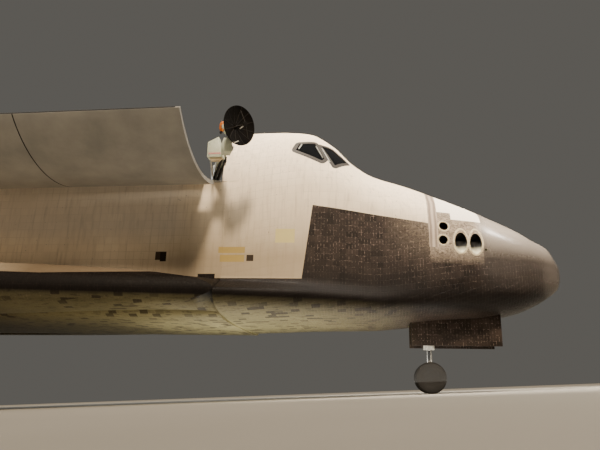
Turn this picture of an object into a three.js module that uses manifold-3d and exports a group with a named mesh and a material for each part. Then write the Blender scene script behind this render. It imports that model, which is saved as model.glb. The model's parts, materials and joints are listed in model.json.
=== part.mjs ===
// Winged space shuttle standing on its landing gear with its payload bay doors open.
// The airframe is drawn in its own stations, in inches: station runs aft from ahead of the nose,
// side runs to port and height runs up. The frame is then put on its wheels, nose slightly down,
// in millimetres with +X forward, +Y to port and +Z up.
import * as THREE from 'three';
import { mergeVertices } from 'three/addons/utils/BufferGeometryUtils.js';
import Module from 'manifold-3d';

const wasm = await Module();
wasm.setup();

// Driving dimensions, in inches unless a name says otherwise
const INCH = 25.4;
const REF_STATION = 970;
const GAP = 0.012; // between pieces that touch
const CLEAR = 0.5; // between pieces that move past each other
const GROUND = { station: 1613, height: 142, slope: 0.0559 };
const PITCH = Math.atan(GROUND.slope);

const CAP_END = 266;
const MODULE = { front: 293, aft: 378, floor: 343 };
const BULKHEAD = 582; // aft face of the bay's front wall
const BAY = { radius: 93, centre: 400, sill: 414, aft: 1307 };
const COLLAR = { aft: 587, inner: 99, outer: 103 };
const BODY_WALL = 105;
const BASE_END = 1511;

const DOOR = {
  front: 588, aft: 1305.5, inner: 99.4, outer: 103, low: 8.8, top: 89.86, hingeSide: 103.5 };
const DOOR_OPEN = 134;
const RADIATOR = { inner: 94, outer: 97.2, low: 24, top: 77.5, front: 606, split: 952, aft: 1296 };

const ANTENNA = {
  station: 600, side: 88, swing: 113, floor: 414.4, reach: 88, height: 441, armLow: 424, armTop: 431 };
const DISH = { radius: 18, aim: 145, tilt: -7, hub: 6.6, trunnion: 2 };
const ANTENNA_BOX = {
  outer: 158, inner: 150, outline: [[587.4, 418.3], [572.5, 418.3], [577.5, 438], [587.4, 433]] };
const ARM_NOTCH = { aft: 605, top: 439.6 }; // in the starboard door, round the antenna's arm
const ANTENNA_SHELF = { front: 590, aft: 610, inner: 80, outer: 98, low: 400 };

const WING = { tip: 468.34, spar: 1387, edge: 1525.24, taper: 0.1773, dihedral: 0.0634, floor: 277 };
const GLOVE = { side: 205, station: 1041, slope: 6.314, bend: 230, sweepBase: 836 };
const EDGE_STRIP = { inner: 185, depth: 20 };
const ELEVONS = [{ name: 'inboard', from: 112, to: 312 }, { name: 'outboard', from: 318, to: 455 }];

const FIN = {
  root: 490, tip: 815.72, frontRoot: 1270.1, frontTip: 1593.6, rearRoot: 1541.5, rearTip: 1702.07 };
const RUDDER = { low: 612, high: 790, station: 1515.7, slope: 0.6958, nose: 10.5, hub: 4 };
// Room over the base for the upper bell's swing, seen from the side
const UNDERCUT = [[1514, 500], [1514, 509.5], [1580, 566], [1720, 566], [1720, 500]];

const FLAP = { hinge: 1531, edge: 1613, half: 126, radius: 7, height: 291, edgeHeight: 286 };
const BELL = { length: 168, throat: 52, exit: 45.35, wall: 1.6, neck: 12 };
const POD_BELL = { length: 62, throat: 12, exit: 21.5, wall: 1.2, neck: 7 };
const ENGINES = [
  { name: 'upper', station: 1445, side: 0, height: 440, up: 14, out: 0 },
  { name: 'left', station: 1468, side: 53, height: 342.6, up: 10, out: 3.5 },
  { name: 'right', station: 1468, side: -53, height: 342.6, up: 10, out: -3.5 },
];
const RECESS = { from: -8, to: 120, small: 24, large: 53 };
const SHIELD = { from: 30, to: 76, large: 62, small: 49, aft: 1530, low: 300 };

const MAIN_GEAR = { station: 1174, side: 136, radius: 22.25, width: 16, apart: 36 };
const MAIN_WELL = { front: 1030, aft: 1192, inner: 108, outer: 164, top: 318 };
const NOSE_GEAR = { station: 378, radius: 16, width: 8.8, apart: 22 };
const NOSE_WELL = { front: 305, aft: 398, half: 22, top: 333 };
const WHEEL_SIDES = 24;

const FINISHES = {
  white_blanket: ['#d9d4c8', 0.9, 0], black_tile: ['#35332f', 0.8, 0], grey_carbon: ['#6f6a62', 0.7, 0.1],
  glass: ['#171a1d', 0.1, 0], cabin_grey: ['#6d7478', 0.8, 0], radiator_silver: ['#c9cdd0', 0.25, 0.8],
  dish_black: ['#15130f', 0.5, 0.2], nozzle_metal: ['#6b5c4c', 0.45, 0.8], steel: ['#8d9092', 0.4, 0.8],
  tyre: ['#1d1d1e', 0.85, 0], box_white: ['#dfe3da', 0.5, 0], gear_white: ['#d8d8d4', 0.5, 0.1],
};

// Solids from points
const point = (station, side, height) => [(REF_STATION - station) * INCH, side * INCH, height * INCH];
const radians = (degrees) => degrees * Math.PI / 180;
const polar = (radius, degrees, centre = [0, 0]) => [
  centre[0] + radius * Math.cos(radians(degrees)), centre[1] + radius * Math.sin(radians(degrees))];

function arc(radius, from, to, steps, centre) {
  return Array.from({ length: steps + 1 }, (_, i) => polar(radius, from + (to - from) * i / steps, centre));
}

function solidOf(geometry) {
  const bare = geometry.clone();
  for (const key of Object.keys(bare.attributes)) if (key !== 'position') bare.deleteAttribute(key);
  const merged = mergeVertices(bare, 1e-3);
  const { array } = merged.attributes.position;
  const index = merged.index.array;
  const triangles = [];
  let volume = 0;
  for (let i = 0; i < index.length; i += 3) {
    const [a, b, c] = [index[i], index[i + 1], index[i + 2]];
    if (a === b || b === c || c === a) continue;
    triangles.push(a, b, c);
    const [p, q, r] = [a, b, c].map((k) => new THREE.Vector3(...array.slice(3 * k, 3 * k + 3)));
    volume += p.dot(q.cross(r));
  }
  if (volume < 0) triangles.reverse();
  const mesh = new wasm.Mesh({
    numProp: 3, vertProperties: new Float32Array(array), triVerts: new Uint32Array(triangles) });
  return new wasm.Manifold(mesh);
}

function capOf(ring) {
  const spans = [0, 1, 2].map((k) => {
    const values = ring.map((p) => p[k]);
    return Math.max(...values) - Math.min(...values);
  });
  const drop = spans.indexOf(Math.min(...spans));
  const [u, v] = [0, 1, 2].filter((k) => k !== drop);
  const flat = ring.map((p) => new THREE.Vector2(p[u], p[v]));
  const sign = Math.sign(THREE.ShapeUtils.area(flat));
  return THREE.ShapeUtils.triangulateShape(flat, []).map((t) => {
    const turn = Math.sign(THREE.ShapeUtils.area(t.map((k) => flat[k])));
    return turn === sign ? t : [t[0], t[2], t[1]];
  });
}

// A closed body through rings of the same number of points. A cap is a fan about its middle
// where points of the ring lie in line, because triangulating drops such points.
function loft(rings) {
  const n = rings[0].length;
  const index = [];
  const points = rings.flat();
  for (let i = 0; i + 1 < rings.length; i += 1) {
    for (let j = 0; j < n; j += 1) {
      const [a, b] = [i * n + j, i * n + (j + 1) % n];
      index.push(a, b, b + n, a, b + n, a + n);
    }
  }
  const ends = [[rings[0], 0, -1], [rings.at(-1), (rings.length - 1) * n, 1]];
  for (const [ring, first, turn] of ends) {
    let cap = capOf(ring);
    if (cap.length < n - 2) {
      cap = ring.map((_, i) => [points.length - first, i, (i + 1) % n]);
      points.push([0, 1, 2].map((k) => ring.reduce((sum, p) => sum + p[k], 0) / n));
    }
    for (const [a, b, c] of cap) index.push(...(turn > 0 ? [a, b, c] : [c, b, a]).map((k) => first + k));
  }
  const geometry = new THREE.BufferGeometry();
  geometry.setAttribute('position', new THREE.Float32BufferAttribute(points.flat(), 3));
  geometry.setIndex(index);
  return solidOf(geometry);
}

// Prisms of an outline in each of the three planes
const prism = (outline, ends, put) => loft(ends.map((k) => outline.map(([a, b]) => point(...put(a, b, k)))));
const sidePrism = (outline, from, to) => prism(outline, [from, to], (s, h, y) => [s, y, h]);
const frontPrism = (outline, from, to) => prism(outline, [from, to], (y, h, s) => [s, y, h]);
const planPrism = (outline, from, to) => prism(outline, [from, to], (s, y, h) => [s, y, h]);

function block(s0, s1, y0, y1, h0, h1) {
  return sidePrism([[s0, h0], [s1, h0], [s1, h1], [s0, h1]], y0, y1);
}

function place(geometry, from, to) {
  const a = new THREE.Vector3(...point(...from));
  const along = new THREE.Vector3(...point(...to)).sub(a).normalize();
  const turn = new THREE.Quaternion().setFromUnitVectors(new THREE.Vector3(0, 1, 0), along);
  return solidOf(geometry.applyQuaternion(turn).translate(a.x, a.y, a.z));
}

const distance = (from, to) => Math.hypot(...from.map((v, i) => to[i] - v));

// A turned body whose profile of [radius, distance] lies along the line between two points
function turned(profile, from, to, sides) {
  const points = profile.map(([r, d]) => new THREE.Vector2(Math.max(r, 0) * INCH, d * INCH));
  return place(new THREE.LatheGeometry(points, sides), from, to);
}

function rod(from, to, r0, r1 = r0, sides = 12) {
  const length = distance(from, to);
  return turned([[0, 0], [r0, 0], [r1, length], [0, length]], from, to, sides);
}

const join = (solids) => solids.reduce((a, b) => a.add(b));
const mirror = (solid) => solid.mirror([0, 1, 0]);
const sided = (solid, side) => (side > 0 ? solid : mirror(solid));

// Hull: half sections from the keel round to the crown
const HULL_COLUMNS = [
  'station', 'keel', 'chineSide', 'chine', 'wallSide', 'wall', 'shoulderSide', 'shoulder', 'crown'];
const HULL = [
  [238.2, 335, 0.6, 336, 0.6, 336.2, 0.6, 336.4, 337],
  [239.5, 327.5, 8.5, 335, 8.5, 336, 8.4, 337, 344.5],
  [244, 318, 17, 333, 17, 336, 16.8, 338, 352.5],
  [252, 311.5, 26, 330, 26.2, 335, 25.8, 339, 365.3],
  [266, 302.8, 37, 326, 37.4, 333, 36.7, 340, 372.9],
  [285, 295, 47.5, 321, 48, 330, 47, 342, 384.1],
  [306, 290.6, 55.5, 317, 56, 327, 54.6, 345, 394.1],
  [334, 286.5, 64.5, 313, 65, 323, 63, 348, 407],
  [364, 285.2, 73.2, 308, 73.4, 318, 70.6, 353, 419.3],
  [400, 282, 83, 302, 81.6, 313, 77.5, 366, 432.7],
  [436, 279.6, 94, 298, 90, 308, 84.5, 384, 443.2],
  [455, 279.3, 99.5, 299, 94, 309, 89.5, 392, 456.1],
  [478, 279.1, 105, 300, 98.5, 310, 95, 397, 480.8],
  [505, 279, 112.5, 301, 102, 311, 99.5, 400, 497.8],
  [540, 278, 121.5, 301, 104, 311.5, 102, 400, 501.7],
  [582, 277, 132.2, 301, 105, 312, 103, 400, 503],
];
const LOWER_ROUND = 3;
const UPPER_ROUND = [[238, 2], [306, 2.2], [436, 2.35], [505, 2.2], [582, 2]];

function between(table, x) {
  const i = Math.max(1, table.findIndex(([t]) => t >= x));
  const [[x0, y0], [x1, y1]] = [table[i - 1], table[i]];
  return y0 + (y1 - y0) * (x - x0) / (x1 - x0);
}

function bulge(from, to, power, steps) {
  return Array.from({ length: steps + 1 }, (_, i) => {
    const t = radians(90 * i / steps);
    const [c, s] = [Math.cos(t), Math.sin(t)].map((v) => Math.max(v, 0) ** (2 / power));
    return [from[0] * c + to[0] * s, to[1] * s + from[1] * (1 - s)];
  });
}

// Half outline at one row of the table, drawn in or out by grow
function halfHull(row, grow = 0) {
  const r = Object.fromEntries(HULL_COLUMNS.map((key, i) => [key, row[i]]));
  const power = between(UPPER_ROUND, r.station);
  const lower = bulge([r.chineSide + grow, r.chine], [0, r.keel - grow], LOWER_ROUND, 4).reverse();
  const wallMid = [(r.wallSide + r.shoulderSide) / 2 + grow, (r.wall + r.shoulder) / 2];
  const upper = bulge([r.shoulderSide + grow, r.shoulder], [0, r.crown + grow], power, 6);
  return [...lower, [r.wallSide + grow, r.wall], wallMid, ...upper];
}

function fullRing(half) {
  const port = half.slice(1, -1).map(([y, h]) => [-y, h]).reverse();
  return [...half, ...port];
}

function hull(grow = 0, rows = HULL) {
  return loft(rows.map((row) => fullRing(halfHull(row, grow)).map(([y, h]) => point(row[0], y, h))));
}

const slab = (from, to) => block(from, to, -600, 600, 100, 900);

// Cabin windows as [station, height] outlines seen from the side, and front ones as [side, height]
const SIDE_WINDOWS = {
  side: [[516.8, 452], [513.2, 463.5], [494.4, 466], [482, 442.2], [486.2, 437.4]],
  corner: [[491, 463.4], [478.6, 462], [459.8, 443.2], [474, 432.4]],
};
const FRONT_WINDOW = [[5, 453], [52, 444], [50, 464], [5, 473]];
const PANE_GAP = 0.1;

function shrunk(outline, by) {
  const n = outline.length;
  const centre = [0, 1].map((k) => outline.reduce((sum, p) => sum + p[k], 0) / n);
  return outline.map((p) => {
    const away = [p[0] - centre[0], p[1] - centre[1]];
    const length = Math.hypot(...away);
    return [0, 1].map((k) => p[k] - by * away[k] / length);
  });
}

function windowCuts(by) {
  const cuts = {};
  for (const [name, outline] of Object.entries(SIDE_WINDOWS)) {
    cuts[`${name}_left`] = sidePrism(shrunk(outline, by), 40, 120);
    cuts[`${name}_right`] = mirror(cuts[`${name}_left`]);
  }
  cuts.front_left = frontPrism(shrunk(FRONT_WINDOW, by), 425, 505);
  cuts.front_right = mirror(cuts.front_left);
  return cuts;
}

const HATCH = { station: 508, height: 352, radius: 20 };

function hatchCylinder(radius) {
  const [from, to] = [60, 130].map((side) => [HATCH.station, side, HATCH.height]);
  return rod(from, to, radius, radius, 20);
}

const THRUSTERS = [
  { station: 365.1, side: 68.9, height: 373.8, aim: [0, 1, 0.12], radius: 5.2 },
  { station: 366.2, side: 71.2, height: 358.9, aim: [0, 1, 0.05], radius: 5.2 },
  { station: 348.4, side: 66.5, height: 357.8, aim: [-0.12, 0.75, -0.85], radius: 7.2 },
  { station: 333.3, side: 62, height: 357.5, aim: [-0.12, 0.75, -0.85], radius: 7.2 },
];
const TOP_THRUSTERS = [[306.7, -14.65, 393], [306.7, 0, 394.4], [306.7, 14.65, 393],
  [350.9, -14.4, 413.5], [350.9, 0, 414.5], [350.9, 14.4, 413.5]];

function thrusterBores() {
  const bores = THRUSTERS.flatMap(({ station, side, height, aim, radius }) => {
    const end = (k) => [station + k * aim[0], side + k * aim[1], height + k * aim[2]];
    const bore = rod(end(-11), end(14), radius * 0.72, radius * 1.12, 14);
    return [bore, mirror(bore)];
  });
  const top = TOP_THRUSTERS.map(([s, y, h]) => rod([s + 1, y, h - 8], [s - 2, y, h + 8], 3.6, 4.6, 8));
  return join([...bores, ...top]);
}

function forwardBody() {
  const shell = hull();
  const inner = hull(-6);
  const module = block(MODULE.front, MODULE.aft, -200, 200, MODULE.floor, 600);
  const moduleCut = block(MODULE.front - GAP, MODULE.aft + GAP, -200, 200, MODULE.floor - GAP, 600);
  const { half } = NOSE_WELL;
  const well = block(NOSE_WELL.front, NOSE_WELL.aft, -half, half, 200, NOSE_WELL.top);
  const flightDeck = inner.intersect(block(446, 570, -200, 200, 408, 600));
  const midDeck = inner.intersect(block(446, 570, -96, 96, 304, 398));
  const cuts = windowCuts(0);
  const centre = [0, BAY.centre];
  const openBay = frontPrism(arc(COLLAR.inner, 0, 360, 35, centre).slice(0, -1), BULKHEAD, 600);
  const rim = frontPrism(arc(COLLAR.outer, 8.2, 171.8, 24, centre), 570, COLLAR.aft).subtract(openBay);
  const above = block(BULKHEAD - 1, COLLAR.aft + 1, -200, 200, BAY.sill + 0.9, 600);
  const body = join([shell, rim.intersect(above)])
    .subtract(join([slab(0, CAP_END + GAP / 2), flightDeck, midDeck, ...Object.values(cuts)]))
    .subtract(join([moduleCut, well, hatchCylinder(HATCH.radius + 0.3)]));
  const paneShell = hull(-0.6).subtract(hull(-2.2));
  const panes = Object.entries(windowCuts(PANE_GAP))
    .map(([name, cut]) => [`window_${name}`, paneShell.intersect(cut), 'glass']);
  return [
    ['nose_cap', shell.intersect(slab(0, CAP_END - GAP / 2)), 'grey_carbon'],
    ['forward_fuselage', body, 'white_blanket'],
    ['forward_thruster_module', shell.intersect(module).subtract(thrusterBores()), 'white_blanket'],
    ...panes,
    ['side_hatch', shell.subtract(hull(-5.5)).intersect(hatchCylinder(HATCH.radius)), 'white_blanket'],
    ['flight_deck', flightDeckFit(), 'cabin_grey'],
  ];
}

// Two seats, the front, middle and aft panels on their common floor plate
function flightDeckFit() {
  const floor = block(470, 560, -60, 60, 408 + GAP, 410);
  const seats = [-24, 24].flatMap((y) => [
    block(500, 522, y - 9, y + 9, 409, 424),
    block(518, 524, y - 10, y + 10, 409, 448),
  ]);
  const panel = block(470, 478, -42, 42, 409, 436);
  const middle = block(486, 512, -8, 8, 409, 426);
  const aftPanel = block(552, 560, -55, 55, 409, 446);
  return join([floor, ...seats, panel, middle, aftPanel]);
}

// Middle body: an open trough with a round floor
function midBody() {
  const keel = 276;
  const half = [[0, keel], [60, keel + 0.2], [96, keel + 3], [BODY_WALL, keel + 12],
    [BODY_WALL, 330], [BODY_WALL - 0.6, 370], [103, 400], [102, BAY.sill]];
  const outline = [...half, ...half.slice(1).map(([y, h]) => [-y, h]).reverse()];
  const floor = arc(BAY.radius, 180, 360, 14, [0, BAY.centre]);
  const bay = frontPrism([...floor, [BAY.radius - 1, 430], [1 - BAY.radius, 430]], 500, 1400);
  const { front, aft, inner, outer, low } = ANTENNA_SHELF;
  const shelf = block(front, aft, -outer, -inner, low, BAY.sill);
  return frontPrism(outline, BULKHEAD + GAP, BAY.aft - GAP).subtract(bay).add(shelf);
}

// Aft body with the engine recesses in its base
const AFT_COLUMNS = ['station', 'keel', 'corner', 'wall', 'shoulder', 'crown'];
const AFT = [
  [1307, 276, 288, 105, 400, 503], [1400, 280, 292, 105, 410, 504], [1511, 287, 299, 106, 420, 508]];

function aftRing(row, grow = 0) {
  const r = Object.fromEntries(AFT_COLUMNS.map((key, i) => [key, row[i]]));
  const crown = bulge([r.wall + grow, r.shoulder], [0, r.crown + grow], 2.2, 6);
  const half = [[0, r.keel - grow], [88, r.keel - grow], [r.wall + grow, r.corner], ...crown];
  return fullRing(half).map(([y, h]) => point(r.station, y, h));
}

function aftSeat() {
  const last = [BASE_END + 2 * GAP, ...AFT.at(-1).slice(1)];
  return loft([...AFT.slice(0, -1), last].map((row) => aftRing(row, 2 * GAP)));
}

function engineLine(engine, along) {
  const { station, side, height, up, out } = engine;
  const [c, s] = [Math.cos(radians(up)), Math.sin(radians(up))];
  const o = Math.sin(radians(out));
  return [station + along * c * Math.cos(radians(out)), side + along * o, height + along * s];
}

const engineShields = (grow) => join(ENGINES.map((e) => rod(engineLine(e, SHIELD.from - grow),
  engineLine(e, SHIELD.to + grow), SHIELD.large + grow, SHIELD.small + grow, 24)));

function aftBody() {
  const body = loft(AFT.map((row) => aftRing(row))).intersect(slab(BAY.aft + GAP, 2000));
  const recesses = ENGINES.map((e) => rod(engineLine(e, RECESS.from), engineLine(e, RECESS.to),
    RECESS.small, RECESS.large, 24));
  const base = block(BASE_END - 4, SHIELD.aft, -BODY_WALL, BODY_WALL, SHIELD.low, 508);
  const shield = engineShields(0).intersect(base);
  return body.add(shield).subtract(join(recesses));
}

// Wing: sections across the span, from the cut root out to the tip
// (nose is the height of the leading edge over the floor)
const WING_COLUMNS = ['side', 'thick', 'sparThick', 'crest', 'nose'];
const WING_ROWS = [
  [105.02, 58, 25, 1180, 23], [132.2, 55, 24, 1180, 22], [170, 50, 22, 1190, 17],
  [205, 45, 20.5, 1200, 13], [230, 41, 19.5, 1210, 12.2], [312, 30, 15.5, 1245, 10.8],
  [468.34, 14, 8, 1330, 5],
];
const wingFloor = (side) => WING.floor + (side - BODY_WALL) * WING.dihedral;

function leadingStation(side) {
  const bendStation = GLOVE.sweepBase + GLOVE.bend;
  if (side >= GLOVE.bend) return GLOVE.sweepBase + side;
  if (side >= GLOVE.side) return between([[GLOVE.side, GLOVE.station], [GLOVE.bend, bendStation]], side);
  return Math.max(BULKHEAD + GAP, GLOVE.station - (GLOVE.side - side) * GLOVE.slope);
}

function wingSection(row, rearCut) {
  const r = Object.fromEntries(WING_COLUMNS.map((key, i) => [key, row[i]]));
  const [floor, front] = [wingFloor(r.side), leadingStation(r.side)];
  const noseHeight = floor + r.nose;
  const rear = rearCut(r.side, r.sparThick);
  const noseThick = r.side < 120 ? 30 : 2.5 + 0.12 * r.thick;
  const run = r.crest - front;
  const mid = floor + r.sparThick / 2;
  return [
    [front, noseHeight + noseThick * 0.35],
    [front + run * 0.06, floor + r.thick * (r.side < 120 ? 0.68 : 0.62)],
    [front + run * 0.4, floor + r.thick * 0.86], [r.crest, floor + r.thick],
    [rear, mid + r.sparThick / 2], [rear, mid - r.sparThick / 2],
    [front + run * 0.6, floor], [front + run * 0.1, floor + (noseHeight - floor) * 0.3],
    [front, noseHeight - noseThick * 0.45],
  ];
}

function wingParts(side) {
  const rings = WING_ROWS.map((row) => wingSection(row, (y, t) => WING.spar - t / 2 - 1)
    .map(([s, h]) => point(s, row[0], h)));
  const whole = loft(rings);
  const strip = (gap) => {
    const inner = EDGE_STRIP.inner + gap;
    const front = leadingStation(EDGE_STRIP.inner);
    const tip = leadingStation(WING.tip);
    return planPrism([[front - 60, inner], [front + EDGE_STRIP.depth * 4 - gap, inner],
      [GLOVE.station + 26 - gap, GLOVE.side + 8], [tip + EDGE_STRIP.depth - gap, WING.tip + 4],
      [1200, WING.tip + 4], [900, 240]], 200, 500);
  };
  const well = block(MAIN_WELL.front, MAIN_WELL.aft, MAIN_WELL.inner, MAIN_WELL.outer, 150, MAIN_WELL.top);
  const box = whole.subtract(strip(-GAP)).subtract(well);
  const name = side > 0 ? 'left' : 'right';
  return [
    [`wing_${name}`, sided(box, side), 'white_blanket'],
    [`wing_leading_edge_${name}`, sided(whole.intersect(strip(GAP)), side), 'grey_carbon'],
  ];
}

function sparThickness(side) {
  return between(WING_ROWS.map((row) => [row[0], row[2]]), side);
}

function elevon({ from, to }) {
  const rings = [from, to].map((y) => {
    const half = sparThickness(y) / 2;
    const mid = wingFloor(y) + half;
    const edge = WING.edge - WING.taper * y;
    const nose = arc(half, 90, 270, 6).map(([a, b]) => [WING.spar + a, mid + b]);
    const low = mid - half * 0.35;
    return [...nose, [edge, low - 0.4], [edge, low + 0.4]].map(([s, h]) => point(s, y, h));
  });
  return loft(rings);
}

function elevons(side) {
  const hand = side > 0 ? 'left' : 'right';
  return ELEVONS.map((e) => [`elevon_${e.name}_${hand}`, sided(elevon(e), side), 'black_tile']);
}

function bodyFlap() {
  const nose = arc(FLAP.radius, 90, 270, 6).map(([a, b]) => [FLAP.hinge + a, FLAP.height + b]);
  const outline = [...nose, [FLAP.edge, FLAP.edgeHeight - 1], [FLAP.edge, FLAP.edgeHeight + 1]];
  return sidePrism(outline, -FLAP.half, FLAP.half);
}

// Fin and its split rudder
function finSection(height) {
  const t = (height - FIN.root) / (FIN.tip - FIN.root);
  const front = FIN.frontRoot + t * (FIN.frontTip - FIN.frontRoot);
  const rear = FIN.rearRoot + t * (FIN.rearTip - FIN.rearRoot);
  const chord = rear - front;
  const half = chord * 0.045;
  const row = [[0, 0], [0.02, 0.22], [0.18, 0.7], [0.6, 1], [1, 0.08]];
  const upper = row.map(([c, w]) => [front + c * chord, w * half]);
  return [...upper, ...row.slice(1).reverse().map(([c, w]) => [front + c * chord, -w * half])];
}

const hingeAt = (height) => RUDDER.station + (height - RUDDER.low) * RUDDER.slope;

function rudderOutline(noseGap, endGap) {
  const length = Math.hypot(RUDDER.slope, 1);
  const along = [RUDDER.slope / length, 1 / length];
  const back = [along[1], -along[0]];
  const low = [hingeAt(RUDDER.low), RUDDER.low];
  const high = [hingeAt(RUDDER.high), RUDDER.high];
  const spot = (base, b, a) => [0, 1].map((k) => base[k] + back[k] * b + along[k] * a);
  return [
    spot(low, -noseGap, endGap), spot(low, 200, endGap),
    spot(high, 200, -endGap), spot(high, -noseGap, -endGap)];
}

function finParts() {
  const whole = loft([FIN.root, FIN.tip].map((h) => finSection(h).map(([s, y]) => point(s, y, h))));
  const seat = aftSeat();
  const seatFront = frontPrism(
    arc(DOOR.outer + 3, 0, 360, 36, [0, BAY.centre]).slice(0, -1), 1200, 1307);
  const overBase = block(BASE_END - 5, 1700, -100, 100, 300, 508 + GAP)
    .add(sidePrism(UNDERCUT, -100, 100)).add(sidePrism(chuteBay(-GAP), -100, 100));
  const fin = whole.subtract(sidePrism(rudderOutline(RUDDER.nose, 0), -100, 100))
    .subtract(join([seat, seatFront, overBase]));
  const blade = whole.intersect(sidePrism(rudderOutline(0, 1), -100, 100));
  const axisEnds = (gap) => [RUDDER.low + gap, RUDDER.high - gap].map((h) => [hingeAt(h), 0, h]);
  const hubCut = rod(...axisEnds(-4), RUDDER.hub + CLEAR, RUDDER.hub + CLEAR, 12);
  const left = blade.intersect(block(1200, 1800, 0.15, 100, 400, 900)).subtract(hubCut);
  return [
    ['vertical_fin', fin, 'white_blanket'],
    ['rudder_spindle', rod(...axisEnds(1.4), RUDDER.hub, RUDDER.hub, 12), 'steel'],
    ['speedbrake_left', left, 'black_tile'],
    ['speedbrake_right', mirror(left), 'black_tile'],
  ];
}

// Side outline of the drag chute housing, between the undercut and the rudder's foot
const chuteBay = (inset) => [[1536 + inset, 400], [1536 + inset, 600], [1800, 415], [1800, 400]];

function chuteHousing() {
  const columns = [[1536.1, 531, 596, 12, 7], [1560, 551.5, 578, 12, 7], [1568, 558.5, 572, 7, 5]];
  return loft(columns.map(([s, low, high, w, top]) => {
    const half = [[w * 0.6, low], [w, low + 4], [w, low + 12], [top, high]];
    const other = half.map(([y, h]) => [-y, h]).reverse();
    return [...half, ...other].map(([y, h]) => point(s, y, h));
  }));
}

// Manoeuvring pods beside the fin
const POD_COLUMNS = ['station', 'side', 'height', 'halfWidth', 'halfHeight'];
const POD = [
  [1312, 66, 470, 4, 5], [1330, 70, 474, 18, 18], [1365, 75, 480, 32, 33], [1420, 79, 487, 41, 46],
  [1480, 81, 492, 45, 53], [1535, 82, 494, 45, 53], [1562, 82, 495, 42, 49]];
const POD_SQUARE = 0.8;

function pod(side) {
  const rings = POD.map((row) => {
    const r = Object.fromEntries(POD_COLUMNS.map((key, i) => [key, row[i]]));
    const away = (v) => Math.sign(v) * Math.abs(v) ** POD_SQUARE;
    return arc(1, 0, 360, 16).slice(0, -1).map(([a, b]) => point(
      r.station, r.side + r.halfWidth * away(a), r.height + r.halfHeight * away(b)));
  });
  const seat = aftSeat();
  const behind = block(BASE_END + GAP, 1600, -118, 118, 200, 447);
  const bellCut = rod([1530, 82, 498], [1600, 84, 504], 17, 17, 20);
  const inboard = block(1200, 1700, -100, 24, 300, 700);
  const shape = sided(loft(rings).subtract(inboard.add(bellCut)), side);
  return shape.subtract(join([seat, behind, engineShields(0.1)]));
}

// Outer wall of a bell from its neck to its lip, with a hoop at each listed share of its length,
// then the inner wall
function bellProfile({ throat, length, neck, exit, wall }, hoops = []) {
  const radiusAt = (t) => neck + (exit - neck) * t ** 0.62;
  const at = (t, out = 0, shift = 0) => [radiusAt(t) + out, throat + (length - throat) * t + shift];
  const hoop = (t) => [at(t, 0, -1.8), at(t, 1.5, -1.4), at(t, 1.5, 1.4), at(t, 0, 1.8)];
  const outside = [at(0), at(0.2), ...hoops.flatMap(hoop), at(1)];
  const inside = [1, 0.55, 0.2, 0].map((t) => at(t, -wall));
  return [...outside, ...inside];
}

function mainEngine(engine) {
  const head = [[0, 6], [14, 6], [18, 12], [18, 30], [BELL.neck - 1, 38]];
  const profile = [...head, ...bellProfile(BELL, [0.42, 0.68, 0.94]), [0, BELL.throat + 2]];
  return turned(profile, engineLine(engine, 0), engineLine(engine, BELL.length), 22);
}

function podEngine() {
  const [from, to] = [[1532, 82, 498], [1600, 84, 504]];
  const profile = [[0, 0], [8, 0], [8, 10], ...bellProfile(POD_BELL), [0, POD_BELL.throat + 2]];
  return turned(profile, from, to, 20);
}

// Payload bay doors and radiators, drawn closed and then turned open about the hinge line
function bayArc(inner, outer, low, top, front, aft, steps) {
  const centre = [0, BAY.centre];
  const outline = [...arc(outer, low, top, steps, centre), ...arc(inner, top, low, steps, centre)];
  return frontPrism(outline, front, aft);
}

function opened(solid, degrees) {
  const [, y, z] = point(0, DOOR.hingeSide, BAY.sill + 0.2);
  return solid.translate([0, -y, -z]).rotate([-degrees, 0, 0]).translate([0, y, z]);
}

function bayDoors(side) {
  const name = side > 0 ? 'left' : 'right';
  const whole = bayArc(DOOR.inner, DOOR.outer, DOOR.low, DOOR.top, DOOR.front, DOOR.aft, 12);
  const notch = block(500, ARM_NOTCH.aft, 60, 140, 400, ARM_NOTCH.top);
  const door = side > 0 ? whole : whole.subtract(notch);
  const r = RADIATOR;
  const mountBlocks = (from, to) => [40, 70].flatMap((a) => [from + 12, to - 20]
    .map((s) => bayArc(r.outer - 0.5, DOOR.inner - 0.2, a, a + 2, s, s + 8, 1)));
  const front = bayArc(r.inner, r.outer, r.low, r.top, r.front, r.split, 8);
  const aftPanel = bayArc(r.inner, r.outer, r.low, r.top, r.split + 4, r.aft, 8);
  const aft = join([aftPanel, ...mountBlocks(r.split + 4, r.aft)]);
  const turn = (solid) => sided(opened(solid, DOOR_OPEN), side);
  return [
    [`bay_door_${name}`, turn(door), 'white_blanket'],
    [`radiator_forward_${name}`, turn(front), 'radiator_silver'],
    [`radiator_aft_${name}`, turn(aft), 'radiator_silver'],
  ];
}

// Dish antenna swung out over the starboard sill
function antennaSpot(along, aside, height) {
  const a = radians(ANTENNA.swing);
  const station = ANTENNA.station + along * Math.cos(a) + aside * Math.sin(a);
  const side = ANTENNA.side + along * Math.sin(a) - aside * Math.cos(a);
  return [station, -side, height];
}

function antennaBox(a0, a1, k0, k1, h0, h1) {
  const corners = [[a0, k0], [a1, k0], [a1, k1], [a0, k1]].map(([a, k]) => antennaSpot(a, k, 0).slice(0, 2));
  return planPrism(corners, h0, h1);
}

// The dish's pivot, and a place ahead of it and across to the side
function dishFrame() {
  const [aim, tilt] = [radians(DISH.aim), radians(DISH.tilt)];
  const pivot = antennaSpot(ANTENNA.reach, 0, ANTENNA.height);
  const spot = (ahead, across) => [
    pivot[0] + ahead * Math.cos(aim) * Math.cos(tilt) + across * Math.sin(aim),
    pivot[1] - ahead * Math.sin(aim) * Math.cos(tilt) + across * Math.cos(aim),
    pivot[2] + ahead * Math.sin(tilt)];
  return { pivot, spot };
}

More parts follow.
